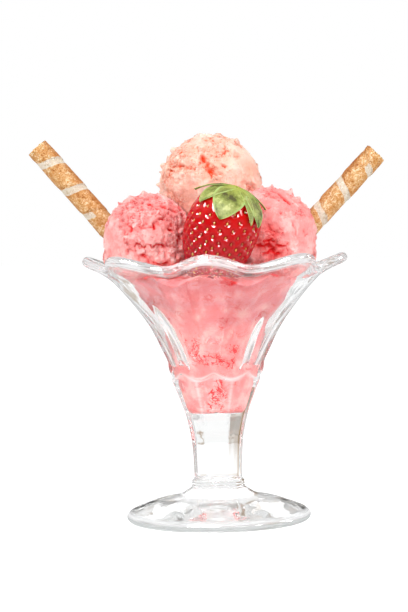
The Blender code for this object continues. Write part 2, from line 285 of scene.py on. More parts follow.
class Material(Nodes):
    """The node tree of a new material."""

    def __init__(self, name):
        self.made = bpy.data.materials.new(name)
        self.made.use_nodes = True
        super().__init__(self.made.node_tree)
        self.shader = self.tree.nodes["Principled BSDF"]

    def set(self, **values):
        """Give the shader's inputs values or other nodes' outputs."""
        for key, value in values.items():
            self.give(value, self.shader.inputs[key.replace("_", " ")])


def linear(red, green, blue):
    """A linear colour from the 0 to 255 values that a screen shows."""
    return tuple(((c / 255 + 0.055) / 1.055) ** 2.4 if c > 10 else c / 255 / 12.92
                 for c in (red, green, blue))


def lerp_colour(a, b, share):
    """The colour that lies share of the way from a to b."""
    return tuple(lerp(p, q, share) for p, q in zip(a, b))


GLASS_TINT = (0.985, 0.995, 0.99)
GLASS_SHADOW = (0.93, 0.94, 0.94)       # what lamps lose on their way through
WATER_IOR, GLASS_IOR = 1.33, 1.5
DRAWN_UPWARDS = (1.0, 1.0, 0.12)        # the waviness is drawn out along the height
LINES_ROUND = 42.0                      # higher gives shorter lines round the rim
# Painted reflections of bright and dim surroundings in the glass: grey, white and dark lines that
# glow, as painted light.
PAINTED_FOOT_REFLECTION, PAINTED_GLINT_COLOUR, PAINTED_DARK_REFLECTION = (0.56, 0.59, 0.585), (0.93, 0.93, 0.94), (0.30, 0.27, 0.25)
RIM_PAINTED_GLINT, RIM_PAINTED_DARK_LINES = 0.62, 0.50        # how much of each shows on the rim


def glass_material():
    """Pressed clear glass with a faint waviness, painted glints and painted grey and dark
    reflection lines that glow; lamps shine through it onto the food.
    """
    n = Material("clear pressed glass")
    drawn = n.add("ShaderNodeMapping", {"Vector": n.coordinates(), "Scale": DRAWN_UPWARDS})
    waves = n.noise(150.0, 1.0, vector=drawn.outputs[0])
    n.set(Base_Color=GLASS_TINT, Roughness=0.0, IOR=GLASS_IOR, Transmission_Weight=1.0,
          Normal=n.bump(waves, 0.24, 0.0006))
    spot = n.parts(n.coordinates())
    run = n.vector(X=n.times(spot["X"], LINES_ROUND), Y=n.times(spot["Y"], LINES_ROUND),
                   Z=n.attribute("over"))
    lines = n.noise(1.0, 3.0, 0.6, 0.6, vector=run)
    # Painted light: a grey painted reflection on the foot's edge, white painted glints on rim,
    # ledge and foot, and dark painted reflection lines on the rim.
    rim = n.attribute("rim")
    band = n.times(n.attribute("band"), n.fade(lines, 0.30, 0.50))
    white = n.most(n.times(n.fade(lines, 0.46, 0.58), n.times(rim, RIM_PAINTED_GLINT)),
                   n.times(n.attribute("lit"), n.fade(lines, 0.20, 0.55)))
    painted_dark_lines = n.times(n.line(lines, 0.43, 0.022, 0.004), n.times(rim, RIM_PAINTED_DARK_LINES))
    # Each painted share mixes a glowing colour over the glass: painted highlight and painted
    # reflection.
    seen = n.shader.outputs[0]
    for share, colour in ((band, PAINTED_FOOT_REFLECTION), (white, PAINTED_GLINT_COLOUR), (painted_dark_lines, PAINTED_DARK_REFLECTION)):
        seen = n.blend(share, seen, n.add("ShaderNodeEmission", {"Color": colour}).outputs[0])
    clear = n.add("ShaderNodeBsdfTransparent", {"Color": GLASS_SHADOW}).outputs[0]
    n.give(n.blend(n.rays("Is Shadow Ray"), seen, clear), n.tree.nodes["Material Output"].inputs[0])
    return n.made


def ice_cream_material(name, crest, body, hollow, scatter, crack_painted_shade=0.50, veined=False):
    """Frozen cream with a tone that varies at random: paler on its crests as a painted highlight,
    redder in its hollows, cracks and pits as painted shade, and darker where the shade attribute
    paints shade.
    """
    n = Material(name)
    patches = n.noise(150.0, 3.0, 0.6)
    grit = n.noise(480.0, 4.0, 0.62, 0.4)
    crack = n.times(n.line(grit, 0.5, 0.038, 0.006), n.fade(patches, 0.46, 0.58))
    if veined:
        crack = n.most(crack, n.line(n.noise(185.0, 3.0, 0.55, 0.5), 0.5, 0.036, 0.010))
    pit = n.fade(n.noise(760.0, 1.0), 0.63, 0.74)
    opened = n.times(n.most(crack, pit), n.attribute("torn"))
    # Painted shade: the hollow attribute and the cracks and pits push the colour towards the hollow
    # colour; the noise over patches and grit is the cream's own uneven tone.
    tone_and_painted_shade = n.vary(n.vary(n.attribute("hollow"), patches, 0.24), grit, -0.30)
    tone_and_painted_shade = n.math("MULTIPLY_ADD", opened, crack_painted_shade, tone_and_painted_shade)
    colour = n.ramp(tone_and_painted_shade, (0.0, crest), (0.34, body), (0.70, lerp_colour(body, hollow, 0.62)),
                    (1.0, hollow))
    relief = n.math("MULTIPLY_ADD", opened, -1.2, grit)
    relief = n.math("MULTIPLY_ADD", n.noise(1500.0, 2.0, 0.6), 0.30, relief)
    # Painted shade: the colour is darkened where the shade attribute says.
    n.set(Base_Color=n.mix(n.attribute("shade"), colour, (0.78, 0.60, 0.66), "MULTIPLY"),
          Roughness=n.grey_ramp(n.noise(260.0), (0.30, 0.38), (0.70, 0.60)),
          Normal=n.bump(relief, 0.75, 0.0010), Subsurface_Weight=0.40,
          Subsurface_Scale=0.0024, Subsurface_Radius=scatter, Specular_IOR_Level=0.12,
          IOR=WATER_IOR)
    return n.made


def strawberry_material():
    """Wet red skin, deeper towards the tip and orange under the leaves, with painted shade in the
    dimples.
    """
    n = Material("strawberry skin")
    ripeness = n.vary(n.attribute("ripeness"), n.noise(140.0, 3.0), 0.25)
    colour = n.ramp(ripeness, (0.0, linear(154, 4, 28)), (0.50, linear(180, 3, 12)),
                    (0.86, linear(192, 6, 6)), (1.0, linear(212, 66, 26)))
    # Painted shade: the skin is darker in the dimples round the seeds.
    n.set(Base_Color=n.mix(n.attribute("dimple"), colour, (0.55, 0.40, 0.40), "MULTIPLY"),
          Roughness=0.45, Subsurface_Weight=0.06, Subsurface_Scale=0.0015,
          Subsurface_Radius=(1.0, 0.15, 0.1), Specular_IOR_Level=0.0, Coat_Weight=1.0,
          Coat_Roughness=0.02, Coat_IOR=1.42, Coat_Normal=n.bump(n.noise(520.0), 0.08, 0.0004))
    return n.made


def seed_material():
    """Golden seeds, some of them redder."""
    n = Material("strawberry seed")
    colour = n.ramp(n.noise(220.0, 1.0), (0.30, linear(176, 62, 24)),
                    (0.50, linear(214, 140, 52)), (0.70, linear(238, 196, 100)))
    n.set(Base_Color=colour, Normal=n.bump(n.noise(2500.0, 1.0), 0.2, 0.0001), Roughness=0.3,
          Coat_Weight=0.6, Coat_Roughness=0.08)
    return n.made


def leaf_material():
    """Light green leaves with a pale rim, brownish mottling and fine veins."""
    n = Material("strawberry leaf")
    across, along = n.attribute("across"), n.attribute("along")
    blade = n.ramp(n.noise(170.0, 4.0, 0.65), (0.36, linear(74, 72, 26)),
                   (0.45, linear(110, 118, 42)), (0.54, linear(140, 150, 66)),
                   (0.66, linear(184, 188, 112)))
    edge = n.grey_ramp(across, (0.78, 0.0), (0.97, 1.0))
    root = n.grey_ramp(along, (0.0, 1.0), (0.45, 0.0))
    tips = n.grey_ramp(n.noise(95.0), (0.56, 0.0), (0.68, 1.0))
    colour = n.mix(edge, blade, linear(178, 204, 118))
    colour = n.mix(root, colour, linear(166, 176, 60))
    colour = n.mix(n.times(tips, n.times(along, 0.55)), colour, linear(122, 104, 52))
    veins = n.add("ShaderNodeTexWave", {"Vector": n.vector(X=across, Y=along), "Scale": 5.5,
                                        "Distortion": 1.2, "Detail": 1.0},
                  wave_type="BANDS", bands_direction="X").outputs["Fac"]
    n.set(Base_Color=colour, Normal=n.bump(veins, 0.25, 0.0003), Roughness=0.45,
          Subsurface_Weight=0.2, Subsurface_Scale=0.001, Subsurface_Radius=(0.5, 1.0, 0.3),
          Specular_IOR_Level=0.20)
    return n.made


def wafer_material():
    """Baked brown strip with a pale stripe along it, full of small blisters and pits."""
    n = Material("baked wafer")
    toast = n.noise(190.0, 3.0, 0.6)
    flecks = n.noise(820.0, 3.0, 0.6, 1.2)
    pores = n.fade(n.noise(1400.0), 0.62, 0.70)
    brown = n.ramp(n.vary(flecks, toast, 0.5), (0.26, linear(150, 86, 34)),
                   (0.40, linear(196, 138, 76)), (0.54, linear(208, 162, 108)),
                   (0.66, linear(236, 212, 174)))
    cream = n.ramp(flecks, (0.30, linear(188, 164, 132)), (0.48, linear(210, 196, 176)),
                   (0.70, linear(228, 220, 208)))
    # Darker along the roll's upper side and, less, along its lower side, where the edge attribute
    # says.
    baked = n.mix(n.attribute("edge"), brown, (0.72, 0.52, 0.36), "MULTIPLY")
    baked = n.mix(n.times(pores, 0.7), baked, linear(170, 88, 28))
    stripe = n.fade(n.vary(n.attribute("stripe"), toast, 0.5), 0.40, 0.60)
    relief = n.math("MULTIPLY_ADD", pores, -0.8, flecks)
    n.set(Base_Color=n.mix(stripe, baked, cream), Normal=n.bump(relief, 0.6, 0.0006),
          Roughness=0.6, Subsurface_Weight=0.1, Subsurface_Scale=0.001,
          Subsurface_Radius=(1.0, 0.6, 0.3), Specular_IOR_Level=0.10)
    return n.made


# ---- Glass --------------------------------------------------------------------------------

LOBES = 8
LOBE_TURN = radians(-3.5)        # azimuth of the front lobe, from -Y towards +X
GLASS_COLUMNS = LOBES * 24
RIDGE_ROUNDING = 0.10
CORNER_POWER = 44                # higher is a sharper corner between two facets
BEAD_RADIUS = 2.5
GLASS_CREASE = radians(32)       # sharper edges than this are not smoothed
# Painted light on the glass: a grey painted reflection on the foot's upright edge, and white
# painted highlights on the lower ends of the flutes and the corners under them.
FOOT_PAINTED_GREY = 0.75                 # how grey the foot's upright edge looks
LEDGE_PAINTED_GLINT = 0.80               # how white the lower ends of the flutes shine
CORNER_PAINTED_GLINT = 0.42              # the same for the corners under them
LOBE_BEAD = (62.3, 127.5, radians(-65))      # radius, height, angle where the bead starts
VALLEY_BEAD = (52.0, 122.5, radians(-45))

# Key stations of the glass in millimetres. A plain (radius, height) is the same all round.
FOOT_STATIONS = ((41.5, 0.1), (43.6, 0.4), (44.7, 1.5), (45.0, 2.7), (44.4, 4.0), (42.8, 5.3),
                 (40.0, 6.5), (31.0, 9.8), (24.0, 11.3), (19.0, 12.7), (15.6, 14.6),
                 (13.6, 15.9))
STEM_RINGS = ((12.7, 16.3), (13.1, 16.8), (12.5, 17.5), (13.0, 18.1), (12.4, 18.8), (12.9, 19.4),
              (12.1, 20.2))
# Corners of the octagonal stem and lower bowl.
OCTAGON = ((12.4, 21.5), (12.6, 27.0), (12.9, 34.0), (13.6, 41.0), (15.0, 47.5), (16.6, 53.5),
           (18.6, 58.7), (21.2, 65.0), (22.6, 68.0))
FACET_TOP_CORNER = 22.95
FACET_TOP = (72.2, 69.2)
# Ridge (radius, height), flute's middle (radius, height), crispness of the ridge.
OUTER_WALL = (((22.9, 73.0), (21.1, 69.9), 1.0),
              ((23.4, 75.5), (21.2, 73.0), 1.0),
              ((23.9, 78.5), (21.9, 77.5), 1.0),
              ((26.5, 84.0), (24.0, 83.5), 1.0),
              ((29.8, 91.0), (27.2, 90.0), 1.0),
              ((33.9, 98.0), (31.0, 96.0), 0.9),
              ((38.3, 104.0), (35.0, 101.0), 0.75),
              ((43.0, 110.0), (39.3, 106.0), 0.5),
              ((48.2, 116.0), (43.8, 111.0), 0.25),
              ((53.1, 120.6), (47.0, 114.6), 0.1),
              ((58.0, 123.0), (50.5, 118.6), 0.0))
# Lobe (radius, height), valley (radius, height), from under the bead down to the floor.
INNER_WALL = (((54.0, 126.6), (46.3, 120.3)),
              ((48.5, 122.6), (42.5, 116.4)),
              ((43.0, 117.0), (38.5, 111.5)),
              ((37.0, 110.0), (34.0, 106.0)),
              ((31.5, 103.0), (29.5, 101.0)),
              ((26.5, 95.5), (25.3, 95.0)),
              ((21.6, 86.0), (21.0, 86.0)),
              *((plain, plain) for plain in ((17.5, 78.0), (14.2, 70.0), (11.9, 60.0),
                                             (10.4, 55.3), (8.2, 53.8))))
FLOOR_HEIGHT = 53.8


def glass_angles():
    """Angles of the glass's columns, from the middle of the front lobe."""
    return np.arange(GLASS_COLUMNS) * 2 * pi / GLASS_COLUMNS


def waved(lobe, valley, crispness=0.0):
    """(radius, height) columns that wave between the lobes and the valleys."""
    angles = glass_angles()
    wave = (1 - np.cos(LOBES * angles)) / 2
    sine = np.sin(LOBES * angles / 2)
    scallop = (np.sqrt(sine ** 2 + RIDGE_ROUNDING ** 2) - RIDGE_ROUNDING) \
        / (sqrt(1 + RIDGE_ROUNDING ** 2) - RIDGE_ROUNDING)
    share = lerp(wave, scallop, crispness)
    return np.stack([lerp(lobe[0], valley[0], share), lerp(lobe[1], valley[1], share)], 1)


def octagon(corner, ridge_height, corner_height):
    """(radius, height) columns of an octagon with slightly rounded corners."""
    angles = glass_angles()
    side = 2 * pi / LOBES
    total = sum(np.clip(np.cos(angles - k * side), 0, 1) ** CORNER_POWER for k in range(LOBES))
    radius = corner * cos(side / 2) / total ** (1 / CORNER_POWER)
    share = np.abs(np.sin(LOBES * angles / 2))
    return np.stack([radius, lerp(ridge_height, corner_height, share)], 1)


def refine(stations, steps):
    """Catmull-Rom curves through stations, each an array of (radius, height) columns."""
    stations = np.array(stations)
    padded = np.concatenate([[2 * stations[0] - stations[1]], stations,
                             [2 * stations[-1] - stations[-2]]])
    rows = []
    for i in range(1, len(padded) - 2):
        before, start, end, after = padded[i - 1:i + 3]
        for step in range(steps):
            t = step / steps
            rows.append(0.5 * (2 * start + (end - before) * t
                               + (2 * before - 5 * start + 4 * end - after) * t ** 2
                               + (3 * start - before - 3 * end + after) * t ** 3))
    rows.append(stations[-1])
    return rows


def bead_stations(steps=10):
    """Columns around the rounded rim, from its underside over the top to its inner side."""
    stations = []
    for step in range(steps + 1):
        turn = pi * step / steps
        ends = [(radius + BEAD_RADIUS * cos(start + turn),
                 height + BEAD_RADIUS * sin(start + turn))
                for radius, height, start in (LOBE_BEAD, VALLEY_BEAD)]
        stations.append(waved(*ends))
    return stations


def inner_wall_rows():
    """Finely stepped (radius, height) columns of the inner wall, from the rim to the floor."""
    bead_end = bead_stations()[-1]
    return refine([bead_end] + [waved(lobe, valley) for lobe, valley in INNER_WALL], 7)


def to_points(columns):
    """Points in metres from (radius, height) columns in millimetres."""
    azimuth = LOBE_TURN + glass_angles()
    radius, height = columns[:, 0] * MM, columns[:, 1] * MM
    return np.stack([radius * np.sin(azimuth), -radius * np.cos(azimuth), height], 1)


def painted_glass_glints_and_lines(count, stem_top, ledge, bead, bead_end):
    """How strongly each point of the rows shows the painted glints and the painted grey and dark
    lines of glass_material.
    """
    row = np.arange(count)[:, None]
    wave = np.abs(np.sin(LOBES * glass_angles() / 2))[None, :]
    # Painted light: grey and white on the foot's edge, a white painted glint on the foot's top,
    # white painted arcs at the ledge and on the corners below it.
    rim = smooth(bead - 5, bead - 1, row) * smooth(bead_end + 8, bead_end + 2, row)
    painted_foot_edge = smooth(10, 8, row) * smooth(1, 3, row)
    painted_foot_top_glint = 0.95 * np.exp(-((row - 12.5) / 1.8) ** 2)
    painted_ledge_arc = LEDGE_PAINTED_GLINT * np.exp(-((row - ledge - 0.5) / 1.8) ** 2) * (0.45 + 0.55 * wave)
    corner = CORNER_PAINTED_GLINT * np.exp(-((1 - wave) / 0.010) ** 2)
    corner = corner * (row > stem_top + 20) * (row < ledge)
    shares = {"rim": np.maximum(rim, painted_foot_edge * 0.5), "band": FOOT_PAINTED_GREY * painted_foot_edge,
              "lit": np.maximum(np.maximum(painted_ledge_arc, corner), painted_foot_top_glint), "over": 0.55 * row}
    all_round, poles = np.ones((1, GLASS_COLUMNS)), (0, 0)
    return {key: np.append(share * all_round, poles) for key, share in shares.items()}


def make_glass():
    """The clear glass, from its flat underside round the rim to the floor of its bowl."""
    rows = refine([waved(p, p) for p in FOOT_STATIONS], 3)
    rows += refine([waved(p, p) for p in STEM_RINGS], 3)
    stem_top = len(rows)
    rows += refine([octagon(corner, z, z) for corner, z in OCTAGON]
                   + [octagon(FACET_TOP_CORNER, *FACET_TOP)], 5)
    ledge = len(rows)
    rows += refine([waved(*station) for station in OUTER_WALL] + [bead_stations()[0]], 6)
    bead = len(rows)
    rows += bead_stations()[1:-1]
    bead_end = len(rows)
    rows += inner_wall_rows()
    rings = np.array([to_points(row) for row in rows])
    vertices, faces = closed_rings(rings, (0, 0, FOOT_STATIONS[0][1] * MM),
                                   (0, 0, FLOOR_HEIGHT * MM))
    made = new_object("glass_dish", vertices, faces, glass_material(), crease=GLASS_CREASE,
                      **painted_glass_glints_and_lines(len(rows), stem_top, ledge, bead, bead_end))
    return place(made, "glass")


# ---- Ice cream in the glass ---------------------------------------------------------------

FILL_TOP = 121.5                 # millimetres, where the heap leaves the wall
FILL_ROWS_TOP = 60
# Crumbly, reddish places seen through the wall: azimuth in degrees, height, size.
FILL_CRUMBLY = ((-30, 86, 5.5), (-20, 81, 5.0), (2, 80, 3.5), (22, 85, 3.5), (20, 78, 3.0),
                (0, 63, 5.0), (-2, 58, 4.0), (4, 70, 2.5), (-62, 104, 6.0), (50, 100, 4.0),
                (130, 85, 6.0), (-150, 95, 8.0), (175, 70, 5.0))
FILL_NARROWING = 0.16            # how much narrower the heap is at the sides than the bowl
HEAP_CENTRE = (-2.0, 12.0)
HEAP_BASE = 124.5
HEAP_RISE = 12.5
HEAP_SPREAD = 18.0
FILL_LUMP = (radians(8), 120.6)  # azimuth and height of a red lump under the front lobe
PRESSED_IN = 0.12                # how far into the wall the ice cream reaches
FILL_FLOOR = FLOOR_HEIGHT + 0.1


def fill_gap(azimuth, angles, heights):
    """Distance in millimetres that the ice cream stays short of the inner wall."""
    ridge = (1 + np.cos(LOBES * angles)) / 2
    upper = smooth(71, 86, heights)
    narrow = lerp(0.97, 0.35, smooth(73, 99, heights))
    pocket = smooth(narrow, 1.0, ridge) * (0.9 + 2.2 * smooth(95, 118, heights))
    side = np.abs(np.sin(azimuth)) ** 3
    short = side * heights * FILL_NARROWING * smooth(72, 90, heights) * 0.22
    return upper * (pocket + short) - PRESSED_IN


def fill_rows(azimuth, angles):
    """(radius, height) columns up the side of the ice cream, then inwards over its heap."""
    rows = []
    for columns in reversed(inner_wall_rows()):
        height = columns[:, 1]
        if height.min() > FILL_TOP - 4:
            break
        radius = columns[:, 0] - fill_gap(azimuth, angles, height)
        rows.append(np.stack([radius, np.maximum(height, FILL_FLOOR)], 1))
    edge = rows[-1]
    for i in range(1, FILL_ROWS_TOP):
        share = 1 - i / FILL_ROWS_TOP
        radius = edge[:, 0] * share
        x, y = radius * np.sin(azimuth), -radius * np.cos(azimuth)
        off = (x - HEAP_CENTRE[0]) ** 2 + (y - HEAP_CENTRE[1]) ** 2
        heap = HEAP_BASE + HEAP_RISE * np.exp(-off / (2 * HEAP_SPREAD ** 2))
        rows.append(np.stack([radius, lerp(heap, edge[:, 1], share ** 6)], 1))
    return np.array(rows)


def crumbly_places(points, spin, radius, heights):
    """0 to 1: the places listed above, with ragged edges, and some specks between them."""
    crumbly = np.zeros(len(points))
    for turn, height, size in FILL_CRUMBLY:
        apart = np.hypot(wrapped(radians(turn) - spin) * radius, heights - height)
        crumbly = np.maximum(crumbly, np.exp(-(apart / size) ** 2))
    ragged = smooth(0.20, 0.60, crumbly * (0.85 + perlin(points, 3.5 * MM, 8.0)))
    speck = smooth(0.30, 0.75, fractal(points, 5 * MM, 3, 21.0)) * smooth(60, 90, heights)
    return np.maximum(ragged, 0.45 * speck)


def ring_normals(rings):
    """The outward direction at each point of closed rings that run upwards."""
    outward = rings - np.roll(rings, 1, axis=1)
    along = np.roll(rings, -1, axis=0) - rings
    along[-1] = along[-2]
    normal = np.cross(outward, along).reshape(-1, 3)
    return normal / np.maximum(np.linalg.norm(normal, axis=1), 1e-9)[:, None]


def make_fill():
    """Ice cream in the bowl: pressed on the wall in places, short of it in the lobes."""
    angles = glass_angles()
    azimuth = LOBE_TURN + angles
    side_rows = fill_rows(azimuth, angles)
    rings = np.array([to_points(row) for row in side_rows])
    points = rings.reshape(-1, 3)
    radius, heights = side_rows.reshape(-1, 2).T
    radius = np.maximum(radius, 1.0)
    spin = wrapped(np.tile(azimuth, len(rings)))
    loose = smooth(FILL_TOP - 3, FILL_TOP + 2, heights)
    bulk = fractal(points, 7 * MM, 3, 3.1)
    joint, lift = crumbs(points, 4.2 * MM, 2.0)
    crumbly = crumbly_places(points, spin, radius, heights)
    off = np.hypot((spin - FILL_LUMP[0]) * radius, heights - FILL_LUMP[1])
    lump = smooth(4.0, 2.6, off + 1.6 * perlin(points, 3 * MM, 33.0))
    relief = loose * (0.9 * bulk + 1.2 * (joint ** 0.5 - 0.7) + 0.8 * (lift - 0.5))
    # Redder in the crumbly places, in the red lump and at random with the bulk noise; on the loose
    # top, redder in dips and paler on crests as painted shade and painted highlight.
    hollow = 0.10 * crumbly - 0.26 * bulk - 0.4 * relief * loose + 0.20 + 1.2 * lump
    moved = points + ring_normals(rings) * ((-0.35 * crumbly + relief) * MM)[:, None]
    # Painted shade: darker under the rim, in streaks, and a little over all the fill; the red lump
    # is darkened by it too.
    painted_shade_under_rim = smooth(88, 112, heights + 6 * perlin(moved, 12 * MM, 50.0))
    painted_shade_streaks = perlin(np.stack([spin * 0.6, heights / 6, 0 * spin], 1), 1.0, 60.0)
    shade = (0.24 + painted_shade_under_rim * (0.70 + 0.8 * painted_shade_streaks) + 2 * lump) * (1 - loose)
    scattered = 0.35 * smooth(0.15, 0.45, perlin(moved, 6 * MM, 77.0))
    torn = 0.05 + np.maximum(np.maximum(crumbly, scattered), 0.6 * loose)
    rings = moved.reshape(rings.shape)
    vertices, faces = closed_rings(rings, (0, 0, FILL_FLOOR * MM), rings[-1].mean(axis=0))
    hollow, torn, shade = (np.clip(share, 0, 1) for share in (hollow, torn, shade))
    made = new_object("ice_cream_in_glass", vertices, faces, PRESSED_ICE,
                      hollow=np.append(hollow, (0.2, 0.2)), torn=np.append(torn, (0.5, 0.5)),
                      shade=np.append(shade, (0, 0)))
    return place(made, "ice_cream_fill")


# ---- Scoops -------------------------------------------------------------------------------

BALL_SUBDIVISIONS = 7
SLIT_DEPTH = 1.35                # deepens every slit listed below
PIT_WIDTH, PIT_DEPTH = 0.030, 1.2
SKIRT_LATITUDE = radians(-27)
BOX_MARGIN = 0.1 * MM            # how far the scoops stay inside the CAD's box

# Marks on each scoop, as (right, up) on its front in fractions of its radius. A slit is
# (points, width, depth), a dent is (right, up, size, depth), a peak is
# (right, up, width, height), and a bald patch is (right, up, size) where the scoop's bowl
# has left the ice cream smooth. seed sets the noise, skirt is the height of the frill round
# the foot in millimetres, torn is how rough it is, and red is how red where it is level.
SCOOP_MARKS = {
    "scoop_left": {
        "seed": 1.7, "skirt": 3.2, "torn": 0.85, "red": 0.14,
        "slits": (
            (((-0.31, -0.17), (-0.25, -0.12), (-0.17, -0.13), (-0.12, -0.19)), 0.022, 1.9),
            (((-0.07, -0.20), (-0.02, -0.14), (0.05, -0.14), (0.09, -0.20)), 0.020, 1.7),
            (((0.12, -0.19), (0.19, -0.13), (0.30, -0.15), (0.37, -0.19)), 0.022, 2.0),
            (((0.15, 0.22), (0.13, 0.33), (0.20, 0.42), (0.36, 0.43)), 0.028, 2.0),
            (((-0.02, 0.23), (0.08, 0.26)), 0.022, 1.6),
            (((0.49, 0.20), (0.56, 0.17)), 0.026, 1.9),
            (((0.00, 0.80), (0.15, 0.72), (0.40, 0.72)), 0.030, 1.4),
            (((0.10, 0.70), (0.22, 0.66)), 0.022, 1.2),
            (((0.60, 0.80), (0.72, 0.66), (0.80, 0.45)), 0.045, 1.9),
            (((0.66, -0.12), (0.70, 0.02), (0.76, 0.10)), 0.040, 1.6),
            (((-0.10, -0.36), (0.00, -0.42), (0.02, -0.50)), 0.030, 1.5),
            (((0.10, -0.50), (0.25, -0.52), (0.34, -0.46)), 0.030, 1.4),
            (((-0.42, 0.30), (-0.36, 0.24), (-0.40, 0.15)), 0.018, 1.2),
        ),
        "pits": ((-0.22, 0.42), (-0.45, 0.34), (-0.54, 0.19), (-0.36, 0.71), (-0.11, 0.81),
                 (0.03, 0.84), (-0.30, 0.52), (0.30, 0.62), (-0.05, 0.60), (0.42, 0.30),
                 (-0.10, 0.30), (0.02, 0.45), (-0.18, 0.64), (0.36, -0.36), (0.28, -0.42)),
        "dents": ((0.20, 0.34, 0.07, 1.3), (0.62, 0.62, 0.12, 0.9), (-0.20, -0.20, 0.05, 0.7),
                  (-0.02, -0.20, 0.05, 0.7), (0.24, -0.20, 0.06, 0.8)),
        "peaks": ((-0.09, 0.99, 0.06, 1.8), (-0.62, 0.78, 0.05, 2.2), (0.20, 0.97, 0.05, 1.4),
                  (-0.38, 0.92, 0.05, 1.2),
                  (0.70, -0.20, 0.05, 1.6), (0.74, 0.15, 0.05, 1.0)),
        "bald": ((-0.75, -0.15, 0.40), (0.10, 0.02, 0.22), (-0.30, -0.02, 0.22)),
    },
    "scoop_right": {
        "seed": 5.3, "skirt": 1.8, "torn": 0.52, "red": 0.20,
        "slits": (
            (((0.24, 0.88), (0.32, 0.80), (0.44, 0.68)), 0.034, 2.4),
            (((0.46, 0.26), (0.50, 0.12), (0.53, 0.00)), 0.026, 1.3),
            (((-0.17, 0.90), (0.04, 0.86)), 0.022, 1.3),
            (((-0.25, -0.06), (-0.12, -0.10), (0.02, -0.08)), 0.030, 1.9),
            (((-0.26, -0.18), (-0.14, -0.22), (-0.02, -0.18), (0.08, -0.26)), 0.034, 2.2),
            (((0.08, -0.12), (0.18, -0.20), (0.30, -0.20)), 0.030, 2.0),
            (((-0.12, -0.34), (0.02, -0.30), (0.12, -0.38), (0.20, -0.34)), 0.032, 2.0),
            (((0.34, -0.10), (0.36, -0.30)), 0.020, 1.0),
            (((-0.18, 0.72), (-0.16, 0.55)), 0.026, 0.9),
            (((0.72, 0.10), (0.76, -0.02)), 0.022, 1.0),
        ),
        "pits": ((0.56, -0.02), (0.24, 0.44), (0.00, 0.58), (0.78, 0.02), (-0.28, -0.28)),
        "dents": ((0.00, 0.18, 0.16, 1.5), (0.16, 0.06, 0.12, 1.3), (0.50, 0.05, 0.06, 0.6),
                  (-0.06, -0.20, 0.16, 1.0), (0.14, -0.30, 0.12, 0.9)),
        "peaks": ((0.45, 0.86, 0.06, 3.0), (0.10, 0.99, 0.05, 2.0), (-0.10, 0.97, 0.04, 2.0),
                  (0.62, 0.76, 0.04, 1.4), (0.10, -0.14, 0.035, 1.4),
                  (0.20, -0.25, 0.03, 1.4), (-0.04, -0.27, 0.03, 1.2), (0.36, -0.10, 0.03, 0.9)),
        "bald": ((0.70, 0.1, 0.45), (0.75, -0.3, 0.4), (0.15, 0.5, 0.25)),
    },
    "scoop_top": {
        "seed": 9.1, "skirt": 0.8, "torn": 0.75, "red": 0.12,
        "slits": (
            (((-0.16, 0.56), (-0.10, 0.42), (-0.04, 0.32), (0.05, 0.20)), 0.034, 1.7),
            (((-0.10, 0.74), (-0.07, 0.62), (-0.08, 0.50)), 0.024, 1.3),
            (((-0.77, 0.36), (-0.66, 0.38), (-0.53, 0.38)), 0.022, 1.9),
            (((-0.50, 0.34), (-0.40, 0.30), (-0.32, 0.30)), 0.020, 1.1),
            (((-0.82, 0.30), (-0.74, 0.26)), 0.022, 1.5),
            (((0.29, 0.80), (0.31, 0.66), (0.23, 0.51)), 0.020, 1.6),
            (((0.24, 0.34), (0.29, 0.32)), 0.020, 1.2),
            (((0.46, 0.79), (0.54, 0.76)), 0.020, 1.4),
            (((-0.30, 0.74), (-0.40, 0.70)), 0.020, 1.0),
            (((-0.10, 0.30), (-0.02, 0.22), (0.02, 0.12)), 0.024, 1.2),
        ),
        "pits": ((0.19, 0.17), (-0.24, 0.72), (-0.50, 0.55), (-0.55, 0.14), (-0.30, 0.12),
                 (-0.20, 0.50), (0.00, 0.16), (-0.14, 0.64)),
        "dents": ((-0.13, 0.46, 0.09, 1.6), (0.28, 0.64, 0.07, 1.3), (-0.02, 0.24, 0.08, 1.4),
                  (-0.60, 0.36, 0.09, 1.5), (-0.42, 0.62, 0.08, 1.0), (0.50, 0.55, 0.06, 0.9)),
        "peaks": ((0.16, 0.98, 0.07, 2.2), (-0.92, 0.40, 0.05, 3.2), (-0.96, 0.28, 0.035, 2.6),
                  (-0.70, 0.70, 0.06, 2.2), (-0.20, 0.97, 0.08, 0.9), (-0.99, 0.02, 0.04, 2.4),
                  (0.52, 0.84, 0.06, 1.8), (0.05, 0.70, 0.10, 0.8), (-0.82, 0.56, 0.05, 1.6),
                  (-0.45, 0.88, 0.05, 1.4), (-0.97, -0.14, 0.04, 1.6)),
        "bald": ((0.75, 0.30, 0.50), (-0.35, -0.10, 0.40), (0.40, 0.0, 0.45)),
    },
}



def unit_ball():
    """(directions, faces) of a finely divided ball."""
    shape = bmesh.new()
    bmesh.ops.create_icosphere(shape, subdivisions=BALL_SUBDIVISIONS, radius=1.0)
    directions = np.array([v.co[:] for v in shape.verts])
    faces = [tuple(v.index for v in f.verts) for f in shape.faces]
    shape.free()
    return directions / np.linalg.norm(directions, axis=1)[:, None], faces


def on_ball(right, up):
    """The direction that shows at (right, up) on the front of a ball."""
    inside = 1 - right ** 2 - up ** 2
    if inside > 0:
        return np.array((right, -sqrt(inside), up))
    return np.array((right, 0.0, up)) / sqrt(right ** 2 + up ** 2)


def ball_of(node):
    """(centre, radius) of the ball that fills a CAD scoop's box."""
    low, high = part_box(node)
    centre = (np.array(low) + np.array(high)) / 2
    return centre, (high[2] - low[2]) / 2


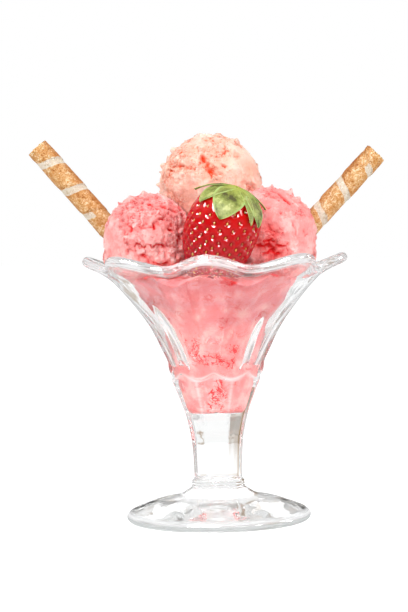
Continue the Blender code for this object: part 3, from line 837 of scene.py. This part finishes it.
def pressed(reach, directions, centre, radius, others):
    """Flatten a scoop where it meets each other scoop."""
    for other_centre, other_radius in others:
        away = other_centre - centre
        span = np.linalg.norm(away)
        distance = (span ** 2 + radius ** 2 - other_radius ** 2) / (2 * span)
        facing = directions @ (away / span)
        limit = np.where(facing > 0.05, distance / np.maximum(facing, 0.05), np.inf)
        reach = np.minimum(reach, np.maximum(limit, 0.3 * radius))
    return reach


def round_marks(marks, where):
    """The heights of round (right, up, width, height) marks, added up."""
    total = np.zeros(len(where))
    for right, up, width, height in marks:
        total += height * near_line(where, [on_ball(right, up)], width)
    return total


def torn_share(marks, directions, spots):
    """How rough each spot is, from 0.22 on bald patches to 1."""
    bald = np.zeros(len(directions))
    for right, up, size in marks["bald"]:
        bald = np.maximum(bald, near_line(directions, [on_ball(right, up)], size))
    patchy = fractal(spots, 12 * MM, 3, marks["seed"])
    return 0.22 + 0.78 * (marks["torn"] * smooth(-0.35, 0.30, patchy + 0.45 - 1.25 * bald))


def scoop_relief(seed, spots, lumps, torn, wander, fray):
    """Height in millimetres of lumps, crumbs and ridges, and of drag marks where smooth."""
    joint, lift = crumbs(spots + 0.6 * MM * wander, 3.2 * MM, seed)
    small_joint, small_lift = crumbs(spots + 0.3 * MM * fray, 1.5 * MM, seed + 11)
    ridged = 1 - np.abs(fractal(spots, 4.2 * MM, 4, seed + 17))
    drag = perlin(spots * np.array((2.8, 2.8, 0.35)), 5 * MM, seed + 23)
    rough = (0.62 * (lift - 0.5) + 0.42 * (joint ** 0.6 - 0.8) + 0.28 * (small_lift - 0.5)
             + 0.20 * (small_joint ** 0.6 - 0.8) + 1.0 * (ridged - 0.82))
    return 0.85 * lumps + torn * rough + (1.1 - torn) * 0.24 * drag


def cut_depth(marks, spots, wandering, torn):
    """Depth in millimetres of a scoop's slits, pits and small holes."""
    seed = marks["seed"]
    unevenness = 0.55 + 0.9 * np.clip(perlin(spots, 3.1 * MM, seed + 29), -0.5, 0.6)
    holes = smooth(0.34, 0.60, fractal(spots, 1.9 * MM, 2, seed + 41))
    depth = 0.75 * holes * torn ** 2
    for line, width, deep in marks["slits"]:
        slit = near_line(wandering, [on_ball(*spot) for spot in line], width)
        depth = np.maximum(depth, SLIT_DEPTH * deep * unevenness * slit)
    for spot in marks["pits"]:
        pit = near_line(wandering, [on_ball(*spot)], PIT_WIDTH)
        depth = np.maximum(depth, PIT_DEPTH * unevenness * pit)
    return depth


def make_scoop(name, ball, surface):
    """A scoop with torn, crumbly and bald stretches, slits, pits, dents and small peaks."""
    marks = SCOOP_MARKS[name]
    directions, faces = ball
    centre, radius = ball_of(name)
    seed = marks["seed"]
    spots = directions * radius
    wander = np.stack([perlin(spots, 2.4 * MM, seed + k) for k in (31, 47, 59)], 1)
    fray = np.stack([perlin(spots, 0.9 * MM, seed + k) for k in (71, 87, 99)], 1)
    wandering = directions + 0.030 * wander + 0.016 * fray
    torn = torn_share(marks, directions, spots)
    lumps = fractal(spots, 11 * MM, 3, seed + 3)
    relief = scoop_relief(seed, spots, lumps, torn, wander, fray)
    depth = cut_depth(marks, spots, wandering, torn)
    dents = round_marks(marks["dents"], directions + 0.04 * wander)
    flakes = smooth(0.45, 0.85, perlin(spots, 1.6 * MM, seed + 67))
    peaks = round_marks(marks["peaks"], wandering) + 0.55 * flakes * torn
    slope = directions[:, 2] - sin(SKIRT_LATITUDE)
    skirt = marks["skirt"] * np.exp(-(slope / 0.17) ** 2) * (0.75 + 0.5 * lumps)

    reach = radius + (relief - depth - dents + peaks + skirt - 0.3) * MM
    others = [ball_of(other) for other in SCOOP_MARKS if other != name]
    reach = pressed(reach, directions, centre, radius, others)
    points = clear_of_glass(centre + directions * reach[:, None])
    low, high = (np.array(corner) for corner in CAD_BOX)
    points = np.clip(points, low + BOX_MARGIN, high - BOX_MARGIN)
    # Redder where cut, dented or sunk and paler on raised relief and peaks, as painted shade and
    # painted highlight, over each scoop's own red level.
    hollow = marks["red"] + 0.46 * depth + 0.24 * dents - 0.22 * relief - 0.10 * peaks
    return new_object(name + "_ball", points, faces, surface, hollow=np.clip(hollow, 0, 1),
                      torn=torn)


def wall_height_at(radius, angle):
    """Height in millimetres of the inner wall or rim at a radius, for arrays."""
    share = (1 - np.cos(LOBES * angle)) / 2
    bead_top = [(bead[0] - 1, bead[1] + BEAD_RADIUS) for bead in (LOBE_BEAD, VALLEY_BEAD)]
    wall = [*reversed(INNER_WALL), bead_top]
    result = np.full(len(radius), FLOOR_HEIGHT)
    for (low_lobe, low_valley), (high_lobe, high_valley) in zip(wall, wall[1:]):
        low_r, low_z = (lerp(low_lobe[k], low_valley[k], share) for k in (0, 1))
        high_r, high_z = (lerp(high_lobe[k], high_valley[k], share) for k in (0, 1))
        step = np.clip((radius - low_r) / (high_r - low_r), 0, 1)
        result = np.where(radius >= low_r, lerp(low_z, high_z, step), result)
    return result


def clear_of_glass(points, clearance=0.5):
    """Lift points that would lie in the wall or rim of the glass."""
    radius = np.hypot(points[:, 0], points[:, 1]) / MM
    angle = np.arctan2(points[:, 0], -points[:, 1]) - LOBE_TURN
    lowest = (wall_height_at(radius, angle) + clearance) * MM
    points[:, 2] = np.maximum(points[:, 2], lowest)
    return points


# ---- Strawberry ---------------------------------------------------------------------------

BERRY_LEAN = radians(20.5)
BERRY_NOD = radians(12)
BERRY_LENGTH = 45.0
BERRY_RADIUS = 17.2
BERRY_WIDEST = 0.60
BERRY_POWERS = (2.15, 2.3)       # fullness of the outline below and above its widest place
BERRY_ROWS = 200
BERRY_COLUMNS = 300
SKIN_SINK = 0.62                 # keeps the swollen skin as large as the CAD's
SKIN_SWELL = 0.85
DIMPLE_DEPTH = 0.40
SEED_COUNT = 260
LAST_SEED = 0.97                 # share of the length above which leaves hide the seeds
SEED_ROWS, SEED_COLUMNS = 6, 8
SEED_LENGTH, SEED_WIDTH, SEED_DEPTH, SEED_POINT = 0.66, 0.40, 0.34, 0.68     # half sizes


def berry_direction():
    """The way the strawberry points, from its tip to its leaves."""
    return Vector((sin(BERRY_LEAN) * cos(BERRY_NOD), -sin(BERRY_NOD),
                   cos(BERRY_LEAN) * cos(BERRY_NOD)))


def berry_radius(share):
    """Radius in millimetres at a fraction of the length from the tip."""
    share = np.asarray(share, float)
    below = np.clip(1 - share / BERRY_WIDEST, 0, 1)
    above = np.clip((share - BERRY_WIDEST) / (1 - BERRY_WIDEST), 0, 1)
    low, high = BERRY_POWERS
    return BERRY_RADIUS * np.where(share < BERRY_WIDEST, (1 - below ** low) ** (1 / low),
                                   (1 - above ** high) ** (1 / high))


def berry_outline(count):
    """(radius, height, share) along the outline, closer together at both ends."""
    share = (1 - np.cos(np.linspace(0, pi, count))) / 2
    return berry_radius(share), BERRY_LENGTH * share, share


def to_berry_place(points):
    """Points of a tip-down strawberry at the origin, set where the strawberry lies."""
    turn = np.array(berry_direction().to_track_quat("Z", "Y").to_matrix())
    low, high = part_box("strawberry")
    radius, height, _ = berry_outline(60)
    angle = np.linspace(0, 2 * pi, 60)
    skin = np.stack([np.outer(radius, np.cos(angle)), np.outer(radius, np.sin(angle)),
                     np.outer(height, np.ones(60))], 2).reshape(-1, 3) * MM @ turn.T
    middle = (skin.min(axis=0) + skin.max(axis=0)) / 2
    shift = (np.array(low) + np.array(high)) / 2 - middle
    return points @ turn.T + shift


def seed_spots():
    """(height share, angle) of the seeds, in the spiral that fruits grow them in."""
    radius, height, share = berry_outline(400)
    step = np.hypot(np.diff(radius), np.diff(height))
    area = np.concatenate([[0], np.cumsum(step * (radius[1:] + radius[:-1]) / 2
                                          * lerp(1.9, 0.42, share[1:]))])
    golden = pi * (3 - sqrt(5))
    spots = []
    for i in range(SEED_COUNT):
        target = area[-1] * (i + 0.5) / SEED_COUNT
        spots.append((np.interp(target, area, share), i * golden))
    return spots


def berry_skin(share, angle, lift=0.0):
    """Points on the smooth skin, in metres, in the strawberry's own frame."""
    share = np.asarray(share, float)
    near = 1e-3
    radius = berry_radius(share)
    low, high = np.clip(share - near, 0, 1), np.clip(share + near, 0, 1)
    rise = (high - low) * BERRY_LENGTH
    spread = berry_radius(high) - berry_radius(low)
    length = np.hypot(rise, spread)
    out, up = rise / length, -spread / length
    radial = radius + out * lift
    return np.stack([radial * np.cos(angle), radial * np.sin(angle),
                     share * BERRY_LENGTH + up * lift], -1) * MM


def make_strawberry():
    """The strawberry's skin, swollen between the dimples that hold its seeds."""
    _, _, share = berry_outline(BERRY_ROWS)
    share = share[1:-1]
    angle = np.arange(BERRY_COLUMNS) * 2 * pi / BERRY_COLUMNS
    shares, angles = np.repeat(share, BERRY_COLUMNS), np.tile(angle, len(share))
    smooth_skin = berry_skin(shares, angles)
    seeds = np.array([berry_skin(np.array(s), np.array(a)) for s, a in seed_spots()])
    nearest = np.full(len(smooth_skin), np.inf)
    for seed in seeds:
        nearest = np.minimum(nearest, np.linalg.norm(smooth_skin - seed, axis=1))
    nearest /= MM
    dimple = 1 - smooth(0.45, 1.15, nearest)
    swell = SKIN_SWELL * smooth(0.25, 2.3, nearest)
    lumps = 0.5 * fractal(smooth_skin, 16 * MM, 2, 4.0)
    lift = swell - DIMPLE_DEPTH * dimple + lumps - SKIN_SINK
    points = berry_skin(shares, angles, lift)
    rings = to_berry_place(points).reshape(len(share), BERRY_COLUMNS, 3)
    poles = to_berry_place(np.array([[0, 0, 0], [0, 0, (BERRY_LENGTH - 0.4) * MM]]))
    vertices, faces = closed_rings(rings, poles[0], poles[1])
    made = new_object("strawberry_skin", vertices, faces, strawberry_material(),
                      ripeness=np.append(shares, (0, 1)), dimple=np.append(dimple, (0, 0)))
    return place(made, "strawberry")


def seed_drop(index, share, angle):
    """(rows of points, two pole points) of one seed, pointed towards the leaves."""
    centre = berry_skin(np.array(share), np.array(angle), -SKIN_SINK)
    ahead = berry_skin(np.array(min(share + 0.01, 1.0)), np.array(angle), -SKIN_SINK)
    side = np.array((-sin(angle), cos(angle), 0))
    along = (ahead - centre) / np.linalg.norm(ahead - centre)
    out = np.cross(side, along)
    size = 1.0 + 0.25 * noise.noise(Vector((index * 1.7, 0, 0)))
    points = []
    for i in range(SEED_ROWS):
        level = -1 + 2 * (i + 0.5) / SEED_ROWS
        width = sqrt(1 - level ** 2) * (1 - 0.25 * level)
        for j in range(SEED_COLUMNS):
            turn = 2 * pi * j / SEED_COLUMNS
            spot = (along * level * SEED_LENGTH + side * cos(turn) * width * SEED_WIDTH
                    + out * sin(turn) * width * SEED_DEPTH)
            points.append(centre + spot * size * MM)
    return points, [centre + along * end * size * MM for end in (-SEED_POINT, SEED_POINT)]


def make_seeds():
    """All the seeds, each a small pointed drop lying in its dimple."""
    vertices, faces = [], []
    for index, (share, angle) in enumerate(seed_spots()):
        if share > LAST_SEED:
            continue
        points, poles = seed_drop(index, share, angle)
        first, pole = len(vertices), len(vertices) + len(points)
        vertices += points + poles
        faces += ring_faces(SEED_ROWS, SEED_COLUMNS, first)
        faces += pole_faces(pole, first, SEED_COLUMNS, True)
        faces += pole_faces(pole + 1, pole - SEED_COLUMNS, SEED_COLUMNS, False)
    made = new_object("strawberry_seeds", to_berry_place(np.array(vertices)), faces,
                      seed_material())
    return place(made, None)


# Leaves: (azimuth from the front in degrees, length, width, lift of the tip, sideways curl).
SEPALS = (
    (-8, 22.5, 15.5, 0.5, 0.0), (-60, 19.5, 10.5, 0.6, 0.10), (36, 21.5, 4.6, 1.0, 0.06),
    (64, 22.0, 10.0, 0.9, -0.10), (-100, 17.5, 6.0, 2.4, 0.12), (104, 16.0, 7.0, 1.8, 0.0),
    (145, 16.5, 9.0, 1.2, 0.1), (-145, 17.0, 8.5, 1.6, -0.1), (180, 15.0, 8.0, 1.0, 0.0),
)
SEPAL_ROWS = 26
SEPAL_COLUMNS = 13
SEPAL_THICKNESS = 0.45
SEPAL_ROOT = 0.6                 # millimetres from the strawberry's top to a leaf's root
SEPAL_LIFT = 0.55                # height of a leaf's under side over the smooth skin
SEPAL_TURN = 1.4                 # the most that a leaf wraps round to either side


def skin_run(count=300):
    """(distance run over the skin from the top, share) for reading where a leaf lies."""
    radius, height, share = berry_outline(count)
    radius, height, share = radius[::-1], height[::-1], share[::-1]
    run = np.concatenate([[0], np.cumsum(np.hypot(np.diff(radius), np.diff(height)))])
    return run, share, radius


def leaf_layer(index, top, skin, front):
    """(points, across, along) of a leaf's upper or under side, in rows from its root."""
    azimuth, length, width, tip_lift, curl = SEPALS[index]
    run, share_at, radius_at = skin
    points, across, along = [], [], []
    for i in range(SEPAL_ROWS):
        t = i / (SEPAL_ROWS - 1)
        half = 0.5 * width * (sin(pi * (0.06 + 0.94 * t)) ** 0.80 + 0.02)
        distance = SEPAL_ROOT + length * t
        share = np.interp(distance, run, share_at)
        radius = max(np.interp(distance, run, radius_at), 1.2)
        for j in range(SEPAL_COLUMNS):
            u = -1 + 2 * j / (SEPAL_COLUMNS - 1)
            turn = (half * u + curl * length * t * t) / radius
            turn = max(min(turn, SEPAL_TURN), -SEPAL_TURN)
            angle = front + radians(azimuth) + turn
            ripple = 0.25 * noise.noise(Vector((index * 3.1, t * 4, u * 2)))
            cup = 0.55 * u * u * (0.3 + t) + tip_lift * t ** 3 + ripple + 0.14 * index / 4
            crease = -0.18 * np.exp(-(u / 0.12) ** 2)
            thick = SEPAL_THICKNESS * (1 - 0.75 * abs(u) ** 3) * (1 - 0.6 * t)
            lift = SEPAL_LIFT + cup + crease + (thick if top else 0)
            points.append(berry_skin(np.array(share), np.array(angle), lift))
            across.append(abs(u))
            along.append(t)
    return points, across, along


def make_leaves():
    """The ring of leaves, each a thin cupped blade draped over the strawberry."""
    skin, front = skin_run(), front_angle()
    faces, lists = [], ([], [], [])
    for index in range(len(SEPALS)):
        faces += blade_faces(len(lists[0]))
        for top in (False, True):
            for values, more in zip(lists, leaf_layer(index, top, skin, front)):
                values += more
    vertices, across, along = lists
    made = new_object("strawberry_leaves", to_berry_place(np.array(vertices)), faces,
                      leaf_material(), across=across, along=along)
    return place(made, "strawberry_calyx")


def blade_faces(first):
    """Faces of one closed blade: an under layer, an upper layer and the edge between."""
    rows, columns = SEPAL_ROWS, SEPAL_COLUMNS
    layer = rows * columns

    def at(side, i, j):
        return first + side * layer + i * columns + j

    faces = []
    for i in range(rows - 1):
        for j in range(columns - 1):
            faces.append((at(1, i, j), at(1, i + 1, j), at(1, i + 1, j + 1), at(1, i, j + 1)))
            faces.append((at(0, i, j), at(0, i, j + 1), at(0, i + 1, j + 1), at(0, i + 1, j)))
        faces.append((at(0, i, 0), at(0, i + 1, 0), at(1, i + 1, 0), at(1, i, 0)))
        last = columns - 1
        faces.append((at(0, i, last), at(1, i, last), at(1, i + 1, last), at(0, i + 1, last)))
    for j in range(columns - 1):
        faces.append((at(0, 0, j), at(1, 0, j), at(1, 0, j + 1), at(0, 0, j + 1)))
        end = rows - 1
        faces.append((at(0, end, j), at(0, end, j + 1), at(1, end, j + 1), at(1, end, j)))
    return faces


def front_angle():
    """Angle round the strawberry's own axis that faces -Y."""
    turn = berry_direction().to_track_quat("Z", "Y").to_matrix()
    local = turn.inverted() @ Vector((0, -1, 0))
    return atan2(local.y, local.x)


# ---- Rolled wafers ------------------------------------------------------------------------

WAFER_LENGTH = 110.0
WAFER_RADIUS = 5.8
WAFER_LEANS = {"wafer_left": radians(-40.5), "wafer_right": radians(43.6)}
# Where the pale stripe crosses the front, as distances from the outer end.
STRIPE_CROSSINGS = {
    "wafer_left": (-6.0, 10.75, 28.4, 44.0, 59.5, 76.0, 92.5, 109.0, 125.0),
    "wafer_right": (-8.0, 8.5, 24.7, 41.0, 57.5, 74.0, 90.5, 107.0, 123.0),
}
STRIPE_FADES = {"wafer_left": 44.0, "wafer_right": 8.5}   # baked over on its upper side there
STRIPE_WIDTH = 0.23              # share of one turn
STRIPE_UNEVENNESS = 0.35         # how much less the stripe slants at the front
WAFER_TURNS = 2.35
SHEET_THICKNESS = 0.75
WAFER_ROWS = 230
WAFER_COLUMNS = 120
STRIPE_SOFTNESS = 0.035          # share of one turn
WAFER_NOISE = (3.7, 9.2)        # where the left and right rolls start in the noise
FRONT = -pi / 2                  # angle round a roll that faces the camera


def wafer_section():
    """(radius, turn) around one closed cross-section of the wound sheet."""
    turns = np.linspace(0, WAFER_TURNS, WAFER_COLUMNS)
    ends = np.minimum(np.arange(WAFER_COLUMNS), np.arange(WAFER_COLUMNS)[::-1])
    taper = np.clip(ends / 3.0, 0.15, 1)
    outer = WAFER_RADIUS - 0.10 - 0.38 * np.minimum(turns, 1) - 0.95 * np.maximum(turns - 1, 0)
    inner = outer - SHEET_THICKNESS * taper
    outer = outer - (1 - taper) * SHEET_THICKNESS * 0.4
    return np.concatenate([outer, inner[::-1]]), np.concatenate([turns, turns[::-1]])


def wafer_stripe(name, base, angle, from_end, shift):
    """(stripe, edge): how far each point is on the pale stripe, and how much darker it is along the
    roll's upper side and, less, its lower side.
    """
    crossings = STRIPE_CROSSINGS[name]
    around = wrapped(angle - FRONT)
    slant = (around - STRIPE_UNEVENNESS * np.sin(around)) / (2 * pi)
    phase = np.interp(from_end, crossings, np.arange(len(crossings))) - slant
    phase = np.abs((phase + 0.5) % 1 - 0.5) + 0.025 * perlin(base, 2.5 * MM, shift + 5)
    middle = STRIPE_WIDTH / 2
    stripe = 1 - smooth(middle - STRIPE_SOFTNESS, middle + STRIPE_SOFTNESS, phase)
    upward = np.cos(angle) * (1 if WAFER_LEANS[name] < 0 else -1)
    faded = np.exp(-((from_end - STRIPE_FADES[name]) / 5.5) ** 2) * smooth(-0.35, 0.15, upward)
    # The roll's upper side is made darkest and its lower side a little darker.
    edge = smooth(0.45, 1.0, upward) + 0.55 * smooth(0.6, 1.0, -upward)
    return stripe * (1 - faded), np.clip(edge, 0, 1)


def make_wafer(name, surface):
    """A strip wound into a hollow roll, so its outside steps where the strip overlaps."""
    lean, crossings = WAFER_LEANS[name], STRIPE_CROSSINGS[name]
    shift = WAFER_NOISE[lean > 0]
    low, high = (np.array(corner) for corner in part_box(name))
    heights = np.linspace(0, WAFER_LENGTH, WAFER_ROWS)
    section, turns = wafer_section()
    columns = len(section)
    winding = np.interp(WAFER_LENGTH - heights, crossings, np.arange(len(crossings)))
    level = np.repeat(heights, columns)
    radius = np.tile(section, WAFER_ROWS)
    angle = FRONT + 2 * pi * (np.repeat(winding, columns) + 0.13 + np.tile(turns, WAFER_ROWS))
    base = np.stack([radius * np.cos(angle), radius * np.sin(angle), level], 1) * MM
    blister = fractal(base, 2.2 * MM, 3, shift)
    pit = smooth(0.35, 0.7, fractal(base, 1.3 * MM, 2, shift + 9))
    wobble = 0.12 * np.sin(level / 9 + shift) + 0.12 * perlin(base, 12 * MM, shift)
    radius = np.minimum(radius + 0.12 * blister - 0.20 * pit + wobble, WAFER_RADIUS - 0.05)
    rim = np.stack([np.cos(angle), np.sin(angle), 0 * angle], 1)
    ragged = 0.5 * perlin(rim, 0.35, shift) + 0.3 * perlin(rim, 0.12, shift)
    level = level - smooth(WAFER_LENGTH - 2.5, WAFER_LENGTH, level) * (0.5 + ragged)
    stripe, edge = wafer_stripe(name, base, angle, WAFER_LENGTH - level, shift)
    turn = np.array(Euler((0, lean, 0)).to_matrix())
    points = np.stack([radius * np.cos(angle), radius * np.sin(angle), level], 1) * MM @ turn.T
    core = np.array([(0, 0, 0), (0, 0, WAFER_LENGTH * MM)]) @ turn.T
    points += (low + high) / 2 - core.mean(axis=0)
    faces = ring_faces(WAFER_ROWS, columns)
    for row, flip in ((0, True), (WAFER_ROWS - 1, False)):
        first = row * columns
        for k in range(WAFER_COLUMNS - 1):
            quad = (first + k, first + k + 1, first + columns - 2 - k, first + columns - 1 - k)
            faces.append(quad[::-1] if flip else quad)
    made = new_object(name + "_roll", points, faces, surface, stripe=stripe, edge=edge)
    return place(made, name)


# ---- Studio -------------------------------------------------------------------------------

CAMERA_DISTANCE = 0.850
FOCAL_LENGTH = 102.3             # millimetres, as the sensor is
SENSOR = 36.0
CAMERA_PITCH = radians(1.68)
CAMERA_ROLL = radians(-1.1)
CAMERA_SIDE = -0.0054
NEAREST_SEEN = 0.01

# Lamps: place, width and height in metres, watts, and whether only mirror images show it.
LAMPS = {
    "softbox_left": ((-0.50, -0.85, 0.70), (0.16, 0.24), 4.0, False),
    "softbox_right": ((0.80, -0.60, 0.60), (0.18, 0.32), 3.4, False),
    "softbox_top": ((-0.15, -0.35, 1.0), (0.26, 0.20), 3.5, False),
    "glint_left": ((-0.35, -0.80, 0.80), (0.75, 0.60), 60.0, True),
    "glint_right": ((0.90, 0.15, 0.45), (0.20, 0.45), 8.0, True),
}
LAMP_TARGET = Vector((0, 0, 0.12))
GLASS_BOUNCES, CLEAR_BOUNCES = 24, 16

# Light from the white surroundings: on matt surfaces, in mirror images, and bent by glass.
AMBIENT_LIGHT = 0.67
WHITE, GREY, BROWN, SLATE = (1.0,) * 3, (0.55,) * 3, (0.36, 0.23, 0.12), (0.16,) * 3
LOW_MIRRORED, HIGH_MIRRORED, BEHIND_CAMERA = (0.14,) * 3, (0.90,) * 3, (0.72,) * 3
MIRRORED_UPWARDS = ((-1.0, LOW_MIRRORED), (0.20, LOW_MIRRORED), (0.50, HIGH_MIRRORED))
BENT_SIDEWAYS = ((-1.0, WHITE), (-0.90, GREY), (-0.80, WHITE), (-0.66, WHITE), (-0.58, BROWN),
                 (-0.46, BROWN), (-0.38, WHITE), (0.62, WHITE), (0.74, SLATE), (0.84, WHITE))
BENT_UPWARDS = ((-1.0, WHITE), (-0.62, WHITE), (-0.50, GREY), (-0.40, WHITE), (0.42, WHITE),
                (0.52, GREY), (0.62, WHITE), (0.80, WHITE), (0.88, GREY), (0.96, WHITE))
BENT_BACKWARDS = ((-1.0, BEHIND_CAMERA), (-0.45, BEHIND_CAMERA), (-0.05, WHITE))
BENT_LINES = ((0.0, WHITE), (0.40, WHITE), (0.44, GREY), (0.48, WHITE), (0.54, WHITE),
              (0.57, BROWN), (0.60, WHITE))
BENT_WAVINESS = 5.0              # higher gives finer grey lines in the glass
STRAIGHT_ON, ASIDE = 0.97, 0.86  # lines come in between these, as shares of straight ahead

# The table: its own colour, and what it gives the camera, mirror images and bent rays.
TABLE_REACH = 30.0
TABLE_COLOUR, TABLE_PALER = (0.30,) * 3, (0.32,) * 3
TABLE_SEEN, TABLE_MIRRORED, TABLE_FAR = (0.82,) * 3, (0.10,) * 3, (0.84, 0.84, 0.85)
TABLE_CLOUDS = ((0.38, (0.42, 0.41, 0.46)), (0.50, (0.66, 0.65, 0.66)),
                (0.60, (0.52, 0.46, 0.38)), (0.72, (0.66, 0.66, 0.66)))
CLOUDS_END = (0.10, 0.30)        # metres from the glass's axis where the clouds thin out


def make_camera():
    """A long lens level with the rim."""
    data = bpy.data.cameras.new("camera")
    data.lens, data.sensor_width, data.clip_start = FOCAL_LENGTH, SENSOR, NEAREST_SEEN
    camera = bpy.data.objects.new("camera", data)
    bpy.context.scene.collection.objects.link(camera)
    camera.location = (CAMERA_SIDE, -CAMERA_DISTANCE, GLASS_HEIGHT)
    aim = Euler((pi / 2 - CAMERA_PITCH, 0, 0)).to_matrix()
    roll = Euler((0, 0, CAMERA_ROLL)).to_matrix()
    camera.rotation_euler = (aim @ roll).to_euler()
    bpy.context.scene.camera = camera


def make_lamp(name, location, size, power, only_mirrored):
    """A softbox that faces the glass; one that is only mirrored lights nothing itself."""
    data = bpy.data.lights.new(name, "AREA")
    data.shape = "RECTANGLE"
    data.size, data.size_y = size
    data.energy = power
    lamp = bpy.data.objects.new(name, data)
    bpy.context.scene.collection.objects.link(lamp)
    lamp.location = location
    lamp.rotation_euler = (LAMP_TARGET - Vector(location)).to_track_quat("-Z", "Y").to_euler()
    lamp.visible_camera = False
    lamp.visible_diffuse = lamp.visible_transmission = not only_mirrored


def make_world():
    """A white studio: white to the eye, dimmer as light, banded where the glass bends it."""
    world = bpy.data.worlds.new("studio")
    bpy.context.scene.world = world
    world.use_nodes = True
    n = Nodes(world.node_tree)
    n.tree.nodes.clear()
    direction = n.coordinates("Generated")
    parts = n.parts(direction)

    def band(axis, stops):
        return n.across(parts[axis], stops, interpolation="LINEAR")

    def background(colour, strength=1.0):
        return n.add("ShaderNodeBackground", {"Color": colour, "Strength": strength}).outputs[0]

    bent = n.mix(1.0, band("X", BENT_SIDEWAYS), band("Z", BENT_UPWARDS), "MULTIPLY")
    bent = n.mix(1.0, bent, band("Y", BENT_BACKWARDS), "MULTIPLY")
    waves = n.noise(BENT_WAVINESS, vector=direction)
    lines = n.ramp(waves, *BENT_LINES, interpolation="LINEAR")
    bent = n.mix(n.fade(parts["Y"], STRAIGHT_ON, ASIDE), bent, lines, "MULTIPLY")
    mirrored = background(band("Z", MIRRORED_UPWARDS))
    shown = n.blend(n.rays("Is Glossy Ray"), background(WHITE, AMBIENT_LIGHT), mirrored)
    # A ray that goes through glass counts as glossy too, so it is told apart after that.
    shown = n.blend(n.rays("Is Transmission Ray"), shown, background(bent))
    shown = n.blend(n.rays("Is Camera Ray"), shown, background(WHITE))
    n.add("ShaderNodeOutputWorld", {"Surface": shown})


def make_floor():
    """A wide white table top, lit up a little so that it meets the white behind it."""
    n = Material("white table")
    clouds = n.ramp(n.noise(26.0), *TABLE_CLOUDS)
    outwards = n.add("ShaderNodeVectorMath", {0: n.coordinates()}, operation="NORMALIZE")
    sideways = n.across(n.parts(outwards.outputs["Vector"])["X"], BENT_SIDEWAYS)
    reached = n.add("ShaderNodeVectorMath", {0: n.coordinates()}, operation="LENGTH")
    far = n.fade(reached.outputs["Value"], *CLOUDS_END)
    bent = n.mix(1.0, n.mix(far, clouds, TABLE_FAR), sideways, "MULTIPLY")
    shine = n.mix(n.rays("Is Glossy Ray"), TABLE_SEEN, TABLE_MIRRORED)
    shine = n.mix(n.rays("Is Transmission Ray"), shine, bent)
    n.set(Base_Color=n.ramp(n.noise(3.0), (0.3, TABLE_COLOUR), (0.7, TABLE_PALER)),
          Emission_Color=shine, Emission_Strength=1.0, Roughness=0.6, Specular_IOR_Level=0.1)
    corners = [(x * TABLE_REACH, y * TABLE_REACH, TABLE)
               for x, y in ((-1, -1), (1, -1), (1, 1), (-1, 1))]
    floor = new_object("table", corners, [(0, 1, 2, 3)], n.made)


def make_studio():
    """Camera, lamps, white surroundings and table, and light paths deep enough for glass."""
    make_camera()
    for name, lamp in LAMPS.items():
        make_lamp(name, *lamp)
    make_world()
    make_floor()
    scene = bpy.context.scene
    scene.view_settings.view_transform = "Standard"
    scene.cycles.max_bounces = GLASS_BOUNCES
    scene.cycles.glossy_bounces = GLASS_BOUNCES
    scene.cycles.transmission_bounces = GLASS_BOUNCES
    scene.cycles.transparent_max_bounces = CLEAR_BOUNCES


# ---- The sundae ---------------------------------------------------------------------------

# Crest, body and hollow colours and the scattering radius: the body is the cream's own colour, the
# paler crest a painted highlight and the deep red hollow painted shade.
PINKS = (linear(252, 196, 192), linear(248, 152, 149), linear(236, 44, 46), (1.0, 0.30, 0.25))
PEACHES = (linear(249, 210, 194), linear(247, 182, 161), linear(242, 92, 54), (1.0, 0.55, 0.40))
PINK_ICE = ice_cream_material("strawberry ice cream", *PINKS)
PRESSED_ICE = ice_cream_material("strawberry ice cream on glass", *PINKS, crack_painted_shade=0.85,
                                 veined=True)
PEACH_ICE = ice_cream_material("peach ice cream", *PEACHES)

make_studio()
make_glass()
make_fill()
ball = unit_ball()
for scoop in SCOOP_MARKS:
    peach = scoop == "scoop_top"
    made_scoop = make_scoop(scoop, ball, PEACH_ICE if peach else PINK_ICE)
    place(made_scoop, scoop)
make_strawberry()
make_seeds()
make_leaves()
WAFER = wafer_material()
for wafer in WAFER_LEANS:
    make_wafer(wafer, WAFER)
